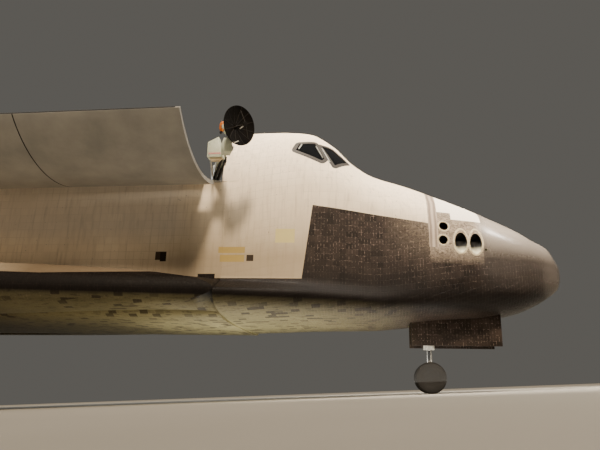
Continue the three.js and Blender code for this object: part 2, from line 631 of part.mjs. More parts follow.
function antennaParts() {
  const { reach, armLow, armTop } = ANTENNA;
  const upright = ([s, y], low, high, radius) => rod([s, y, low], [s, y, high], radius, radius, 12);
  const base = antennaSpot(0, 0, ANTENNA.floor);
  const { pivot, spot } = dishFrame();
  const post = upright(base, ANTENNA.floor, 436, 3.8);
  const arm = antennaBox(-2, reach - 3, -2.6, 2.5, armLow, armTop);
  const foot = antennaBox(reach - 8, reach + 3, -3.6, 3.6, armLow, 430);
  const { outline, outer, inner } = ANTENNA_BOX;
  const electronics = sidePrism(outline, -outer, -inner);
  const boom = join([post, arm, electronics, foot, upright(pivot, 429, 436, 2.4)]);
  const turntable = upright(pivot, 436.2, 438.4, 4.2);
  const trunnion = rod(spot(0, -4.4), spot(0, 4.4), DISH.trunnion, DISH.trunnion, 12);
  const gimbal = join([turntable, upright(pivot, 438, ANTENNA.height, 1.6), trunnion]);
  const { hub, radius } = DISH;
  const bowl = [[0, hub], [6.4, hub], [6.4, hub + 2], [10, hub + 3.6], [radius, hub + 8],
    [radius, hub + 8.8], [10, hub + 4.8], [2.7, hub + 3.2]];
  const feed = [[0.9, hub + 3.2], [0.7, hub + 15], [3, hub + 15], [3, hub + 17], [0, hub + 17]];
  const ears = [-1, 1].map((k) => rod(spot(0, k * 4.9), spot(0, k * 6.1), 2.4, 2.4, 12)
    .add(rod(spot(1, k * 5.5), spot(hub + 0.5, k * 5.5), 0.6, 0.6, 8)));
  const dish = join([turned([...bowl, ...feed], spot(0, 0), spot(10, 0), 20), ...ears]);
  return [
    ['antenna_boom', boom, 'box_white'],
    ['antenna_gimbal', gimbal, 'box_white'],
    ['antenna_dish', dish, 'dish_black'],
  ];
}

// Landing gear
const groundHeight = (station) => GROUND.height + (GROUND.station - station) * GROUND.slope;

function axleHeight(gear) {
  const flat = gear.radius * Math.cos(Math.PI / WHEEL_SIDES);
  return groundHeight(gear.station) + flat / Math.cos(PITCH);
}

function wheelPair(gear, side) {
  const { radius: r, width: w, apart } = gear;
  const rim = r * 0.5;
  const flank = [[rim * 0.55, 0.3], [rim, 0.42], [r * 0.84, 0.5], [r * 0.97, 0.36], [r, 0.16]];
  const tyre = (c) => [...flank.map(([a, d]) => [a, c - w * d]),
    ...flank.map(([a, d]) => [a, c + w * d]).reverse()];
  const axle = r * 0.17;
  const half = apart / 2;
  const hub = half - w * 0.3;
  const profile = [[0, -half - w * 0.3], ...tyre(-half), [axle, -hub], [axle, hub], ...tyre(half),
    [0, half + w * 0.3]];
  const points = profile.map(([a, d]) => new THREE.Vector2(a * INCH, d * INCH));
  const geometry = new THREE.LatheGeometry(points, WHEEL_SIDES);
  geometry.rotateY(Math.PI / WHEEL_SIDES - PITCH);
  const [x, y, z] = point(gear.station, side, axleHeight(gear));
  return solidOf(geometry.translate(x, y, z));
}

function ring(centre, half, outer, inner, sides = 16) {
  const [s, y, h] = centre;
  const profile = [[inner, 0], [outer, 0], [outer, 2 * half], [inner, 2 * half], [inner, 0]];
  return turned(profile, [s, y - half, h], [s, y + half, h], sides);
}

function mainLeg() {
  const { station: s, side: y, radius } = MAIN_GEAR;
  const h = axleHeight(MAIN_GEAR);
  const bore = radius * 0.17 + CLEAR;
  const eye = ring([s, y, h], 7, 8, bore);
  const piston = rod([s, y, h + 5.6], [s, y, 240], 4.2, 4.2, 12);
  const cylinder = rod([s, y, 238], [s, y, MAIN_WELL.top - GAP], 6.6, 6.6, 12);
  const brace = rod([s, y, 250], [s - 62, y, MAIN_WELL.top - 3], 3.2, 3.2, 8);
  const trunnion = block(s - 6, s + 6, MAIN_WELL.inner + GAP, MAIN_WELL.outer - GAP, 304, 314);
  const braceEnd = block(s - 68, s - 56, y - 12, y + 12, MAIN_WELL.top - 8, MAIN_WELL.top - GAP);
  const links = [[s + 9, h + 16], [s + 15, h + 34], [s + 9, h + 52]];
  const scissor = sidePrism([[s + 2, h + 14], ...links, [s + 2, h + 54], [s + 2, h + 49], [s + 10, h + 34],
    [s + 2, h + 19]], y - 3, y + 3);
  return join([eye, piston, cylinder, brace, trunnion, braceEnd, scissor]);
}

function noseLeg() {
  const { station: s } = NOSE_GEAR;
  const top = NOSE_WELL.top - GAP;
  const cylinder = rod([s, 0, 262], [s, 0, top], 5.2, 5.2, 12);
  const brace = rod([s, 0, 272], [s - 44, 0, top - 4], 2.6, 2.6, 8);
  const braceEnd = block(s - 50, s - 38, -10, 10, top - 8, top);
  const trunnion = block(s - 5, s + 5, -NOSE_WELL.half + GAP, NOSE_WELL.half - GAP, 312, 321);
  return join([cylinder, brace, braceEnd, trunnion]);
}

function noseFork() {
  const { station: s, radius } = NOSE_GEAR;
  const h = axleHeight(NOSE_GEAR);
  const eye = ring([s, 0, h], 4, 5.4, radius * 0.17 + CLEAR);
  const piston = rod([s, 0, h + 3.8], [s, 0, 261.6], 3, 3, 12);
  const collar = rod([s, 0, 256], [s, 0, 261.6], 5.8, 5.8, 12);
  return join([eye, piston, collar]);
}

function gearDoors(side) {
  const name = side > 0 ? 'left' : 'right';
  const lip = wingFloor(MAIN_WELL.outer) - 0.4;
  const { outer } = MAIN_WELL;
  const { half } = NOSE_WELL;
  const main = block(MAIN_WELL.front + 1, MAIN_WELL.aft - 1, outer - 3.2, outer - 0.6, lip - 58, lip + 6);
  const nose = block(NOSE_WELL.front + 1, NOSE_WELL.aft - 1, half - 2.4, half - 0.4, 259, 291);
  return [
    [`main_gear_door_${name}`, sided(main, side), 'black_tile'],
    [`nose_gear_door_${name}`, sided(nose, side), 'black_tile'],
  ];
}

function gearParts() {
  const parts = [['nose_gear_leg', noseLeg(), 'gear_white'], ['nose_gear_fork', noseFork(), 'gear_white'],
    ['nose_wheels', wheelPair(NOSE_GEAR, 0), 'tyre']];
  for (const side of [1, -1]) {
    const name = side > 0 ? 'left' : 'right';
    parts.push([`main_gear_leg_${name}`, sided(mainLeg(), side), 'gear_white']);
    parts.push([`main_wheels_${name}`, wheelPair(MAIN_GEAR, side * MAIN_GEAR.side), 'tyre']);
    parts.push(...gearDoors(side));
  }
  return parts;
}

// The assembly
function meshOf([name, solid, finish]) {
  const { vertProperties, triVerts } = solid.getMesh();
  const geometry = new THREE.BufferGeometry();
  geometry.setAttribute('position', new THREE.BufferAttribute(vertProperties, 3));
  geometry.setIndex(new THREE.BufferAttribute(triVerts, 1));
  const [color, roughness, metalness] = FINISHES[finish];
  const mesh = new THREE.Mesh(geometry, new THREE.MeshStandardMaterial({ color, roughness, metalness }));
  mesh.name = name;
  return mesh;
}

const HANDS = [['left', 1], ['right', -1]];
const sides = [1, -1];
const pieces = [
  ...forwardBody(),
  ['mid_fuselage', midBody(), 'white_blanket'],
  ['aft_fuselage', aftBody(), 'white_blanket'],
  ...sides.flatMap(wingParts),
  ...sides.flatMap(elevons),
  ['body_flap', bodyFlap(), 'black_tile'],
  ...finParts(),
  ['drag_chute_housing', chuteHousing(), 'white_blanket'],
  ...HANDS.map(([name, side]) => [`pod_${name}`, pod(side), 'white_blanket']),
  ...HANDS.map(([name, side]) => [`pod_engine_${name}`, sided(podEngine(), side), 'nozzle_metal']),
  ...ENGINES.map((engine) => [`main_engine_${engine.name}`, mainEngine(engine), 'nozzle_metal']),
  ...sides.flatMap(bayDoors),
  ...antennaParts(),
  ...gearParts(),
];

const airframe = new THREE.Group();
airframe.add(...pieces.map(meshOf));
airframe.rotation.y = PITCH;
const shuttle = new THREE.Group();
shuttle.add(airframe);
shuttle.updateMatrixWorld(true);
const box = new THREE.Box3().setFromObject(shuttle, true);
airframe.position.set(-(box.min.x + box.max.x) / 2, 0, -box.min.z);
shuttle.updateMatrixWorld(true);

export default shuttle;
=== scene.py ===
import json
import math

import bpy
import numpy as np
from mathutils import Matrix, Vector
from mathutils.bvhtree import BVHTree


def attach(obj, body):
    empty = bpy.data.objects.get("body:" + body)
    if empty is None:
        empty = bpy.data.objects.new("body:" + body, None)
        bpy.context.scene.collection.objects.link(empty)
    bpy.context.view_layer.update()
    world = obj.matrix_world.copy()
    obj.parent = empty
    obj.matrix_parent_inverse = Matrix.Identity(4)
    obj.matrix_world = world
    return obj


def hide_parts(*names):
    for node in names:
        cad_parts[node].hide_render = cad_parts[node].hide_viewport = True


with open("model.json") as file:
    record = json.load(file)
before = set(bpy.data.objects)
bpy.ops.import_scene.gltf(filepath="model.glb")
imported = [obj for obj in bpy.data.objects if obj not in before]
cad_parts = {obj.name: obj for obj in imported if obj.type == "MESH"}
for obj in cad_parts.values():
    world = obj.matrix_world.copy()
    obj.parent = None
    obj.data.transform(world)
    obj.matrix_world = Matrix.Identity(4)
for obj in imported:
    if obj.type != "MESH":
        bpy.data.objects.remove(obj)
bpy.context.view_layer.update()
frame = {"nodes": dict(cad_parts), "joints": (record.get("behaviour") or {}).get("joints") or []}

# The airframe is drawn in inches: station aft, side to port, height up. It stands nose down by PITCH.
INCH = 0.0254
REF_STATION = 970
PITCH = math.atan(0.0559)
TURN = np.array([[math.cos(PITCH), 0, math.sin(PITCH)], [0, 1, 0], [-math.sin(PITCH), 0, math.cos(PITCH)]])
JOINTS = {joint["name"]: joint for joint in frame["joints"]}
FLAP_HINGE = (1531, 0, 291)
OFFSET = np.array(JOINTS["body_flap_hinge"]["pos_m"]) - TURN @ (
    np.array([REF_STATION - FLAP_HINGE[0], FLAP_HINGE[1], FLAP_HINGE[2]]) * INCH)


def placed(points):
    """Points of station, side and height in inches, put in the row's frame in metres."""
    p = np.asarray(points, float)
    return (np.stack([REF_STATION - p[..., 0], p[..., 1], p[..., 2]], -1) * INCH) @ TURN.T + OFFSET


def heading(vector):
    """A direction of station, side and height, turned into the row's frame."""
    v = np.asarray(vector, float)
    v = TURN @ np.array([-v[0], v[1], v[2]])
    return v / np.linalg.norm(v)


# Places and sizes in inches, as in the solids
BULKHEAD = 582
BAY = {"radius": 93, "centre": 400, "sill": 414, "aft": 1307}
COLLAR = {"front": 570, "aft": 587, "inner": 99, "outer": 103, "from": 8.2, "to": 171.8}
BODY_WALL = 105
BASE_END = 1511
DOOR = {"front": 588, "aft": 1305.5, "inner": 99.4, "outer": 103, "low": 8.8, "top": 89.86, "open": 134}
DOOR_HINGE = (103.5, 414.2)
ARM_NOTCH = {"aft": 605, "top": 439.6}
RADIATOR = {"inner": 94, "outer": 97.2, "low": 24, "top": 77.5, "front": 606, "split": 952, "aft": 1296}
HANDS = (("left", False), ("right", True))


def polar(radius, degrees):
    return radius * math.cos(math.radians(degrees)), radius * math.sin(math.radians(degrees))


def handed(shape, starboard):
    return mirrored(shape) if starboard else shape


def curve(radius, low, top, steps):
    """Points of side and height on a circle about the middle of the payload bay."""
    return [(y, h + BAY["centre"]) for y, h in (polar(radius, a) for a in np.linspace(low, top, steps + 1))]


# Shapes: each is (points in metres, faces, uv per face corner in inches)

def outward(points, faces, uv=None):
    """The shell with its faces turned to look out, by its signed volume."""
    total = 0.0
    for face in faces:
        a = points[face[0]]
        b, c = points[face[1:-1]], points[face[2:]]
        total += float((np.cross(b, c) @ a).sum())
    if total < 0:
        faces = [face[::-1] for face in faces]
        uv = None if uv is None else [corners[::-1] for corners in uv]
    return points, faces, uv


def loft(rings, u=None, v=None, closed=True, caps=True):
    """A shell through rings of station, side and height. u is per ring, v is (start, end) per column."""
    rings = np.asarray(rings, float)
    m, n = rings.shape[:2]
    columns = n if closed else n - 1
    faces, uv = [], []
    for i in range(m - 1):
        for j in range(columns):
            k = (j + 1) % n
            faces.append([i * n + j, i * n + k, (i + 1) * n + k, (i + 1) * n + j])
            if u is None:
                uv.append([(0.0, 0.0)] * 4)
            else:
                uv.append([(u[i], v[0][i][j]), (u[i], v[1][i][j]),
                           (u[i + 1], v[1][i + 1][j]), (u[i + 1], v[0][i + 1][j])])
    if caps:
        for first in (0, (m - 1) * n):
            ring = list(range(first, first + n))
            faces.append(ring[::-1] if first == 0 else ring)
            uv.append([(0.0, 0.0)] * n)
    return outward(placed(rings).reshape(-1, 3), faces, uv)


def turned(profile, start, end, sides=32):
    """A turned body: profile of (radius, distance) in inches along the line from start to end."""
    start, end = np.asarray(start, float), np.asarray(end, float)
    axis = (end - start) / np.linalg.norm(end - start)
    across = np.cross(axis, [0, 0, 1] if abs(axis[2]) < 0.9 else [1, 0, 0])
    across /= np.linalg.norm(across)
    other = np.cross(axis, across)
    turn = np.linspace(0, 2 * math.pi, sides, endpoint=False)
    circle = np.cos(turn)[:, None] * across + np.sin(turn)[:, None] * other
    rings = np.array([start + d * axis + max(r, 0.001) * circle for r, d in profile])
    u = np.array([d for _, d in profile])
    widest = max(r for r, _ in profile)
    girth = [np.outer(np.ones(len(profile)), (turn + k * turn[1]) * widest) for k in (0, 1)]
    return loft(rings, u, girth)


def rod(start, end, radius, far=None, sides=16):
    """A round bar between two places, or a cone where the far radius differs."""
    length = float(np.linalg.norm(np.subtract(end, start)))
    far = radius if far is None else far
    return turned([(0, 0), (radius, 0), (far, length), (0, length)], start, end, sides)


def block(s0, s1, y0, y1, h0, h1):
    """A square block between two stations, sides and heights."""
    corners = [[(s, y0, h0), (s, y1, h0), (s, y1, h1), (s, y0, h1)] for s in (s0, s1)]
    return loft(corners)


def prism(outline, first, last, plane="side"):
    """An outline as seen from the side, from the front or in plan, carried from first to last."""
    put = {"side": lambda a, b, k: (a, k, b), "front": lambda a, b, k: (k, a, b),
           "plan": lambda a, b, k: (a, b, k)}
    return loft([[put[plane](a, b, k) for a, b in outline] for k in (first, last)])


def swept(path, ups, profile, closed=True):
    """A profile of (across, up) in inches carried along a path of points, which lie in the row's frame."""
    path, ups = np.asarray(path, float), np.asarray(ups, float)
    ahead = np.roll(path, -1, 0) - np.roll(path, 1, 0)
    if not closed:
        ahead[0], ahead[-1] = path[1] - path[0], path[-1] - path[-2]
    ahead /= np.linalg.norm(ahead, axis=1)[:, None]
    across = np.cross(ahead, ups)
    across /= np.linalg.norm(across, axis=1)[:, None]
    ups = np.cross(across, ahead)
    m, n = len(path), len(profile)
    points = np.concatenate([path[i] + sum(np.outer([p[k] * INCH for p in profile], (across, ups)[k][i])
                                           for k in (0, 1)) for i in range(m)])
    rows = m if closed else m - 1
    faces = [[i * n + j, i * n + (j + 1) % n, ((i + 1) % m) * n + (j + 1) % n, ((i + 1) % m) * n + j]
             for i in range(rows) for j in range(n)]
    if not closed:
        faces += [list(range(n))[::-1], list(range((m - 1) * n, m * n))]
    return outward(points, faces)


def pipe(points, radius, sides=10, rounds=6):
    """A bent pipe through points of station, side and height, its corners rounded."""
    p = np.asarray(points, float)
    way = [p[0]]
    for a, b, c in zip(p, p[1:], p[2:]):
        reach = min(np.linalg.norm(a - b), np.linalg.norm(c - b)) * 0.42
        a, c = b + (a - b) / np.linalg.norm(a - b) * reach, b + (c - b) / np.linalg.norm(c - b) * reach
        way += [a * (1 - t) ** 2 + 2 * b * t * (1 - t) + c * t * t for t in np.linspace(0, 1, rounds)]
    way = placed(np.array(way + [p[-1]]))
    ups = [heading((0.11, 0.23, 0.97))] * len(way)
    turn = np.linspace(0, 2 * math.pi, sides, endpoint=False)
    return swept(way, ups, [(radius * math.cos(t), radius * math.sin(t)) for t in turn], closed=False)


def mirrored(shape):
    """The same shape on the other side of the middle."""
    points, faces, uv = shape
    return outward(points * np.array([1, -1, 1]), [face[::-1] for face in faces],
                   None if uv is None else [corners[::-1] for corners in uv])


# Making objects

EASED_FROM = math.radians(50)


def solid(name, shape, finish, starboard=False):
    """One object of a shape, in one finish, on the port side or mirrored to starboard."""
    points, faces, uv = handed(shape, starboard)
    mesh = bpy.data.meshes.new(name)
    mesh.from_pydata(points.tolist(), [], faces)
    layer = mesh.uv_layers.new(name="skin")
    if uv is not None:
        flat = np.array([value for corners in uv for value in corners], np.float32)
        layer.uv.foreach_set("vector", flat.ravel())
    mesh.materials.append(finish)
    made = bpy.data.objects.new(name, mesh)
    bpy.context.scene.collection.objects.link(made)
    return made


def applied(piece):
    """The piece with its modifiers worked into its mesh."""
    made = bpy.data.meshes.new_from_object(piece.evaluated_get(bpy.context.evaluated_depsgraph_get()))
    piece.modifiers.clear()
    old, piece.data = piece.data, made
    bpy.data.meshes.remove(old)
    return piece


def carved(piece, tool, how="DIFFERENCE", keep=False):
    """The piece cut by a closed tool, joined to it, or kept only inside it."""
    step = piece.modifiers.new("carve", "BOOLEAN")
    step.operation, step.solver, step.object = how, "MANIFOLD", tool
    step.material_mode = "TRANSFER"
    bpy.context.view_layer.update()
    applied(piece)
    if not keep:
        bpy.data.objects.remove(tool)
    return piece


def joined(pieces, name):
    """Several objects made into one, each keeping its finishes."""
    first = pieces[0]
    if len(pieces) > 1:
        with bpy.context.temp_override(active_object=first, object=first, selected_objects=pieces,
                                       selected_editable_objects=pieces):
            bpy.ops.object.join()
    first.name = first.data.name = name
    return first


def laid(piece):
    """Lays the tile pattern square on each face, by the way that it mostly looks."""
    mesh = piece.data
    points = np.empty(len(mesh.vertices) * 3)
    mesh.vertices.foreach_get("co", points)
    points = (points.reshape(-1, 3) - OFFSET) @ TURN / INCH
    normals = np.empty(len(mesh.polygons) * 3)
    mesh.polygons.foreach_get("normal", normals)
    widest = np.abs(normals.reshape(-1, 3) @ TURN).argmax(1)
    corner = np.empty(len(mesh.loops), int)
    mesh.loops.foreach_get("vertex_index", corner)
    sizes = np.empty(len(mesh.polygons), int)
    mesh.polygons.foreach_get("loop_total", sizes)
    looks = np.repeat(widest, sizes)
    at = points[corner]
    first = np.where(looks == 0, at[:, 1], REF_STATION - at[:, 0])
    second = np.where(looks == 2, at[:, 1], at[:, 2])
    layer = mesh.uv_layers.get("skin") or mesh.uv_layers.new(name="skin")
    layer.uv.foreach_set("vector", np.stack([first, second], 1).astype(np.float32).ravel())
    return piece


def two_tone(piece, above, below, level=-0.05):
    """One finish on the faces that look up, the other on those that look down."""
    mesh = piece.data
    normals = np.empty(len(mesh.polygons) * 3)
    mesh.polygons.foreach_get("normal", normals)
    down = (normals.reshape(-1, 3) @ TURN)[:, 2] < level
    mesh.materials.clear()
    mesh.materials.append(above)
    mesh.materials.append(below)
    mesh.polygons.foreach_set("material_index", down.astype(np.int32))
    return piece


def fitted(pieces, name, body, replaced=(), bevel=0.0, angle=32, lay=True):
    """The finished piece: one object on its body, its edges eased and its smooth faces smooth."""
    piece = joined(pieces, name)
    if bevel:
        ease = piece.modifiers.new("ease", "BEVEL")
        ease.width, ease.segments = bevel * INCH, 2
        ease.limit_method, ease.angle_limit = "ANGLE", EASED_FROM
        bpy.context.view_layer.update()
        applied(piece)
    if lay:
        laid(piece)
    mesh = piece.data
    mesh.polygons.foreach_set("use_smooth", [True] * len(mesh.polygons))
    mesh.set_sharp_from_angle(angle=math.radians(angle))
    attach(piece, body)
    if replaced:
        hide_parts(*replaced)
    return piece


# Finishes

def linear(text):
    """An sRGB hex colour as linear light."""
    values = [int(text[k:k + 2], 16) / 255 for k in (1, 3, 5)]
    return [v / 12.92 if v <= 0.04045 else ((v + 0.055) / 1.055) ** 2.4 for v in values] + [1.0]


COLOUR = {"out": 2, "data_type": "RGBA"}
IN_LINE = {"offset": 0, "squash": 1}
EACH_ITS_SHADE = {"Color1": (0, 0, 0, 1), "Color2": (1, 1, 1, 1), "Scale": 1, "Bias": 0}
TILE = 6  # inches, 152 mm
BLANKET = 8  # inches between seams, 203 mm
PRESSED = 0.004  # metres that gaps and seams are pressed in
BLANKET_ROUGH = 0.82


def add(tree, kind, sockets=None, out=0, **settings):
    """Adds a node with its settings, values, colours and links, and gives back one of its outputs."""
    node = tree.nodes.new("ShaderNode" + kind)
    for key, value in settings.items():
        setattr(node, key, value)
    for key, value in (sockets or {}).items():
        if isinstance(value, bpy.types.NodeSocket):
            tree.links.new(value, node.inputs[key])
        else:
            node.inputs[key].default_value = linear(value) if isinstance(value, str) else value
    return node.outputs[out]


def finish(name, **shader):
    """A new material and its principled shader."""
    material = bpy.data.materials.new(name)
    material.use_nodes = True
    tree = material.node_tree
    tree.nodes.clear()
    face = tree.nodes.new("ShaderNodeBsdfPrincipled")
    for key, value in shader.items():
        face.inputs[key.replace("_", " ")].default_value = value
    end = tree.nodes.new("ShaderNodeOutputMaterial")
    tree.links.new(face.outputs[0], end.inputs[0])
    return material, tree, face


def airframe_inches(tree):
    """The place on the airframe in inches: ahead of the reference station, side, height."""
    back = -(TURN.T @ OFFSET) / INCH
    return add(tree, "Mapping", {"Vector": add(tree, "TexCoord", out=3), "Location": tuple(back),
                                 "Rotation": (0, -PITCH, 0), "Scale": (1 / INCH,) * 3})


def skin_inches(tree):
    return add(tree, "UVMap", uv_map="skin")


def stained(tree, base, pattern, low, high, share, colour, least=0):
    """A colour over another where a pattern goes from low to high, up to a share of it."""
    amount = add(tree, "MapRange", {0: pattern, 1: low, 2: high, 3: least, 4: share})
    return add(tree, "Mix", {0: amount, 6: base, 7: colour}, **COLOUR)


def apart(tree, where):
    """The three coordinates of a place or a direction, one by one."""
    split = tree.nodes.new("ShaderNodeSeparateXYZ")
    tree.links.new(where, split.inputs[0])
    return tuple(split.outputs)


def black_tiles(tree, skin, where):
    """Glazed silica tiles of 6 in: near black, each a little different, chalky wear along their columns."""
    tiles = add(tree, "TexBrick", {"Vector": skin, **EACH_ITS_SHADE, "Mortar": (0.2, 0.2, 0.2, 1),
                                   "Mortar Size": 0.14, "Mortar Smooth": 0.2, "Brick Width": TILE,
                                   "Row Height": TILE}, **IN_LINE)
    # the real gap is 1.5 mm: drawn coarser so that it shows
    gaps = add(tree, "TexBrick", {"Vector": skin, "Scale": 1, "Mortar Size": 0.3, "Mortar Smooth": 0.5,
                                  "Brick Width": TILE / 2, "Row Height": TILE}, out=1, **IN_LINE)
    # batches of tiles differ over 700 mm, and chalk comes in patches of 60 mm
    broad = add(tree, "TexNoise", {"Vector": where, "Scale": 0.035, "Detail": 4, "Roughness": 0.6})
    chalk = add(tree, "TexNoise", {"Vector": where, "Scale": 0.42, "Detail": 3, "Roughness": 0.65})
    chalky = add(tree, "MapRange", {0: chalk, 1: 0.5, 2: 0.7, 3: 0, 4: 0.5})
    marks = add(tree, "Math", {0: gaps, 1: chalky}, operation="MULTIPLY")
    base = add(tree, "Mix", {0: tiles, 6: "#1f1915", 7: "#332a25"}, **COLOUR)
    base = stained(tree, base, broad, 0.45, 0.75, 0.4, "#4d423a")
    colour = add(tree, "Mix", {0: marks, 6: base, 7: "#b09c90"}, **COLOUR)
    rough = add(tree, "MapRange", {0: chalk, 1: 0.3, 2: 0.7, 3: 0.42, 4: 0.66})
    return colour, rough, gaps


def white_tiles(tree, skin, where):
    """Coated felt and white tiles of 8 in: warm cream, faint seams, grime that runs down."""
    squares = add(tree, "TexBrick", {"Vector": skin, **EACH_ITS_SHADE, "Mortar": (0.5, 0.5, 0.5, 1),
                                     "Mortar Size": 0.12, "Mortar Smooth": 0.3, "Brick Width": BLANKET,
                                     "Row Height": BLANKET}, **IN_LINE)
    # the real seam is 1 mm: drawn coarser so that it shows
    lines = add(tree, "TexBrick", {"Vector": skin, "Scale": 1, "Mortar Size": 0.2, "Mortar Smooth": 0.6,
                                   "Brick Width": BLANKET, "Row Height": BLANKET}, out=1, **IN_LINE)
    broad = add(tree, "TexNoise", {"Vector": where, "Scale": 0.02, "Detail": 5, "Roughness": 0.6})
    # runs of grime are 70 mm wide and 850 mm long, and specks 50 mm across
    upright = add(tree, "Mapping", {"Vector": where, "Scale": (0.35, 0.35, 0.03)})
    runs = add(tree, "TexNoise", {"Vector": upright, "Scale": 1, "Detail": 4, "Roughness": 0.6})
    specks = add(tree, "TexNoise", {"Vector": where, "Scale": 0.5, "Detail": 2, "Roughness": 0.5})
    base = add(tree, "Mix", {0: broad, 6: "#e6d4b8", 7: "#fcedd4"}, **COLOUR)
    base = stained(tree, base, squares, 0, 1, 0.22, "#cdbda6")
    base = stained(tree, base, runs, 0.52, 0.75, 0.4, "#a8977f")
    faint = add(tree, "MapRange", {0: broad, 1: 0.4, 2: 0.65, 3: 0.05, 4: 0.42})
    seam = add(tree, "Math", {0: lines, 1: faint}, operation="MULTIPLY")
    base = add(tree, "Mix", {0: seam, 6: base, 7: "#8d7c66"}, **COLOUR)
    return stained(tree, base, specks, 0.72, 0.76, 0.6, "#5a4c3d"), lines


def bumped(tree, face, height, deep, strength=0.6):
    """Lines pressed in by deep metres."""
    bump = add(tree, "Bump", {"Height": height, "Strength": strength, "Distance": deep}, invert=True)
    tree.links.new(bump, face.inputs["Normal"])


# the khaki under the belly, partly the tiles' worn grey and partly a painted reflection of the lit floor, by
# height and station; and a painted shade band between it and the side
BELLY_WEAR_AND_REFLECTION = {"under": (295, 281), "fore": (390, 590), "aft": (860, 620), "share": 0.9}
PAINTED_SHADE_BAND = {"low": (284, 293), "high": (345, 306), "share": 0.92}


def stations_ahead(pair):
    """Two stations as the limits of a ramp over the distance ahead."""
    return {key: REF_STATION - station for key, station in zip((1, 2), pair)}


def add_belly(tree, skin, where, black):
    """Khaki over the glaze on the underside, partly worn tile and partly a painted reflection of the floor,
    with darker tiles where some were renewed, and painted shade where the side turns under.
    """
    ahead, _, height = apart(tree, where)
    shifted = add(tree, "Mapping", {"Vector": skin, "Location": (2, 3, 0)})
    renewed = add(tree, "TexBrick", {"Vector": shifted, **EACH_ITS_SHADE, "Mortar": (0, 0, 0, 1),
                                     "Mortar Size": 0, "Brick Width": 8, "Row Height": TILE},
                  offset=0.5, squash=1)
    dark_tile = add(tree, "MapRange", {0: renewed, 1: 0.82, 2: 0.9, 3: 0, 4: 0.8})
    # scuffs are about 250 mm long and 70 mm wide, renewed tiles 200 mm by 150 mm
    drawn_out = add(tree, "Mapping", {"Vector": skin, "Scale": (0.1, 0.35, 1)})
    scuff = add(tree, "TexNoise", {"Vector": drawn_out, "Scale": 1, "Detail": 4, "Roughness": 0.7})
    scuffed = add(tree, "MapRange", {0: scuff, 1: 0.52, 2: 0.66, 3: 0, 4: 0.65})
    dark_tile = add(tree, "Math", {0: dark_tile, 1: scuffed}, operation="MAXIMUM")
    blotches = add(tree, "TexNoise", {"Vector": where, "Scale": 0.018, "Detail": 5, "Roughness": 0.55})
    under = add(tree, "MapRange", {0: height, 1: BELLY_WEAR_AND_REFLECTION["under"][0], 2: BELLY_WEAR_AND_REFLECTION["under"][1]})
    fore = add(tree, "MapRange", {0: ahead, **stations_ahead(BELLY_WEAR_AND_REFLECTION["fore"])})
    aft = add(tree, "MapRange", {0: ahead, **stations_ahead(BELLY_WEAR_AND_REFLECTION["aft"]), 3: 0.25})
    between = add(tree, "Math", {0: fore, 1: aft}, operation="MULTIPLY")
    amount = add(tree, "Math", {0: under, 1: between}, operation="MULTIPLY")
    amount = add(tree, "Math", {0: amount, 1: BELLY_WEAR_AND_REFLECTION["share"]}, operation="MULTIPLY")
    # painted reflection of the lit floor, over the tiles' own worn khaki grey
    khaki = add(tree, "Mix", {0: blotches, 6: "#77714f", 7: "#bbb386"}, **COLOUR)
    khaki = add(tree, "Mix", {0: dark_tile, 6: khaki, 7: "#3a3226"}, **COLOUR)
    # painted shade: a dark band low on the side, where it turns under to the belly
    rises, falls = (add(tree, "MapRange", {0: height, 1: PAINTED_SHADE_BAND[end][0], 2: PAINTED_SHADE_BAND[end][1]})
                    for end in ("low", "high"))
    band = add(tree, "Math", {0: rises, 1: falls}, operation="MULTIPLY")
    band = add(tree, "Math", {0: band, 1: PAINTED_SHADE_BAND["share"]}, operation="MULTIPLY")
    painted_shade = add(tree, "Mix", {0: band, 6: black, 7: "#0b0807"}, **COLOUR)
    return add(tree, "Mix", {0: amount, 6: painted_shade, 7: khaki}, **COLOUR)


def black_skin():
    """Black silica tile, sintered and glazed: dark, with a dull sheen and chalky edges."""
    material, tree, face = finish("black_silica_tile", Roughness=0.5, IOR=1.5, Specular_IOR_Level=0.12)
    skin, where = skin_inches(tree), airframe_inches(tree)
    colour, rough, gaps = black_tiles(tree, skin, where)
    tree.links.new(add_belly(tree, skin, where, colour), face.inputs["Base Color"])
    tree.links.new(rough, face.inputs["Roughness"])
    bumped(tree, face, gaps, PRESSED)
    return material


def white_skin():
    """White quilted silica blanket, sewn in 8 in squares and coated: matt and warm."""
    material, tree, face = finish("white_silica_blanket", Roughness=BLANKET_ROUGH, IOR=1.45)
    colour, lines = white_tiles(tree, skin_inches(tree), airframe_inches(tree))
    tree.links.new(colour, face.inputs["Base Color"])
    bumped(tree, face, lines, PRESSED)
    return material


# where the wing's white begins: how far a face looks up, and on the glove a slope and a height
WING_EDGE = {"facing": 0.55, "slope": -0.05, "level": 299.3, "inboard": 205}


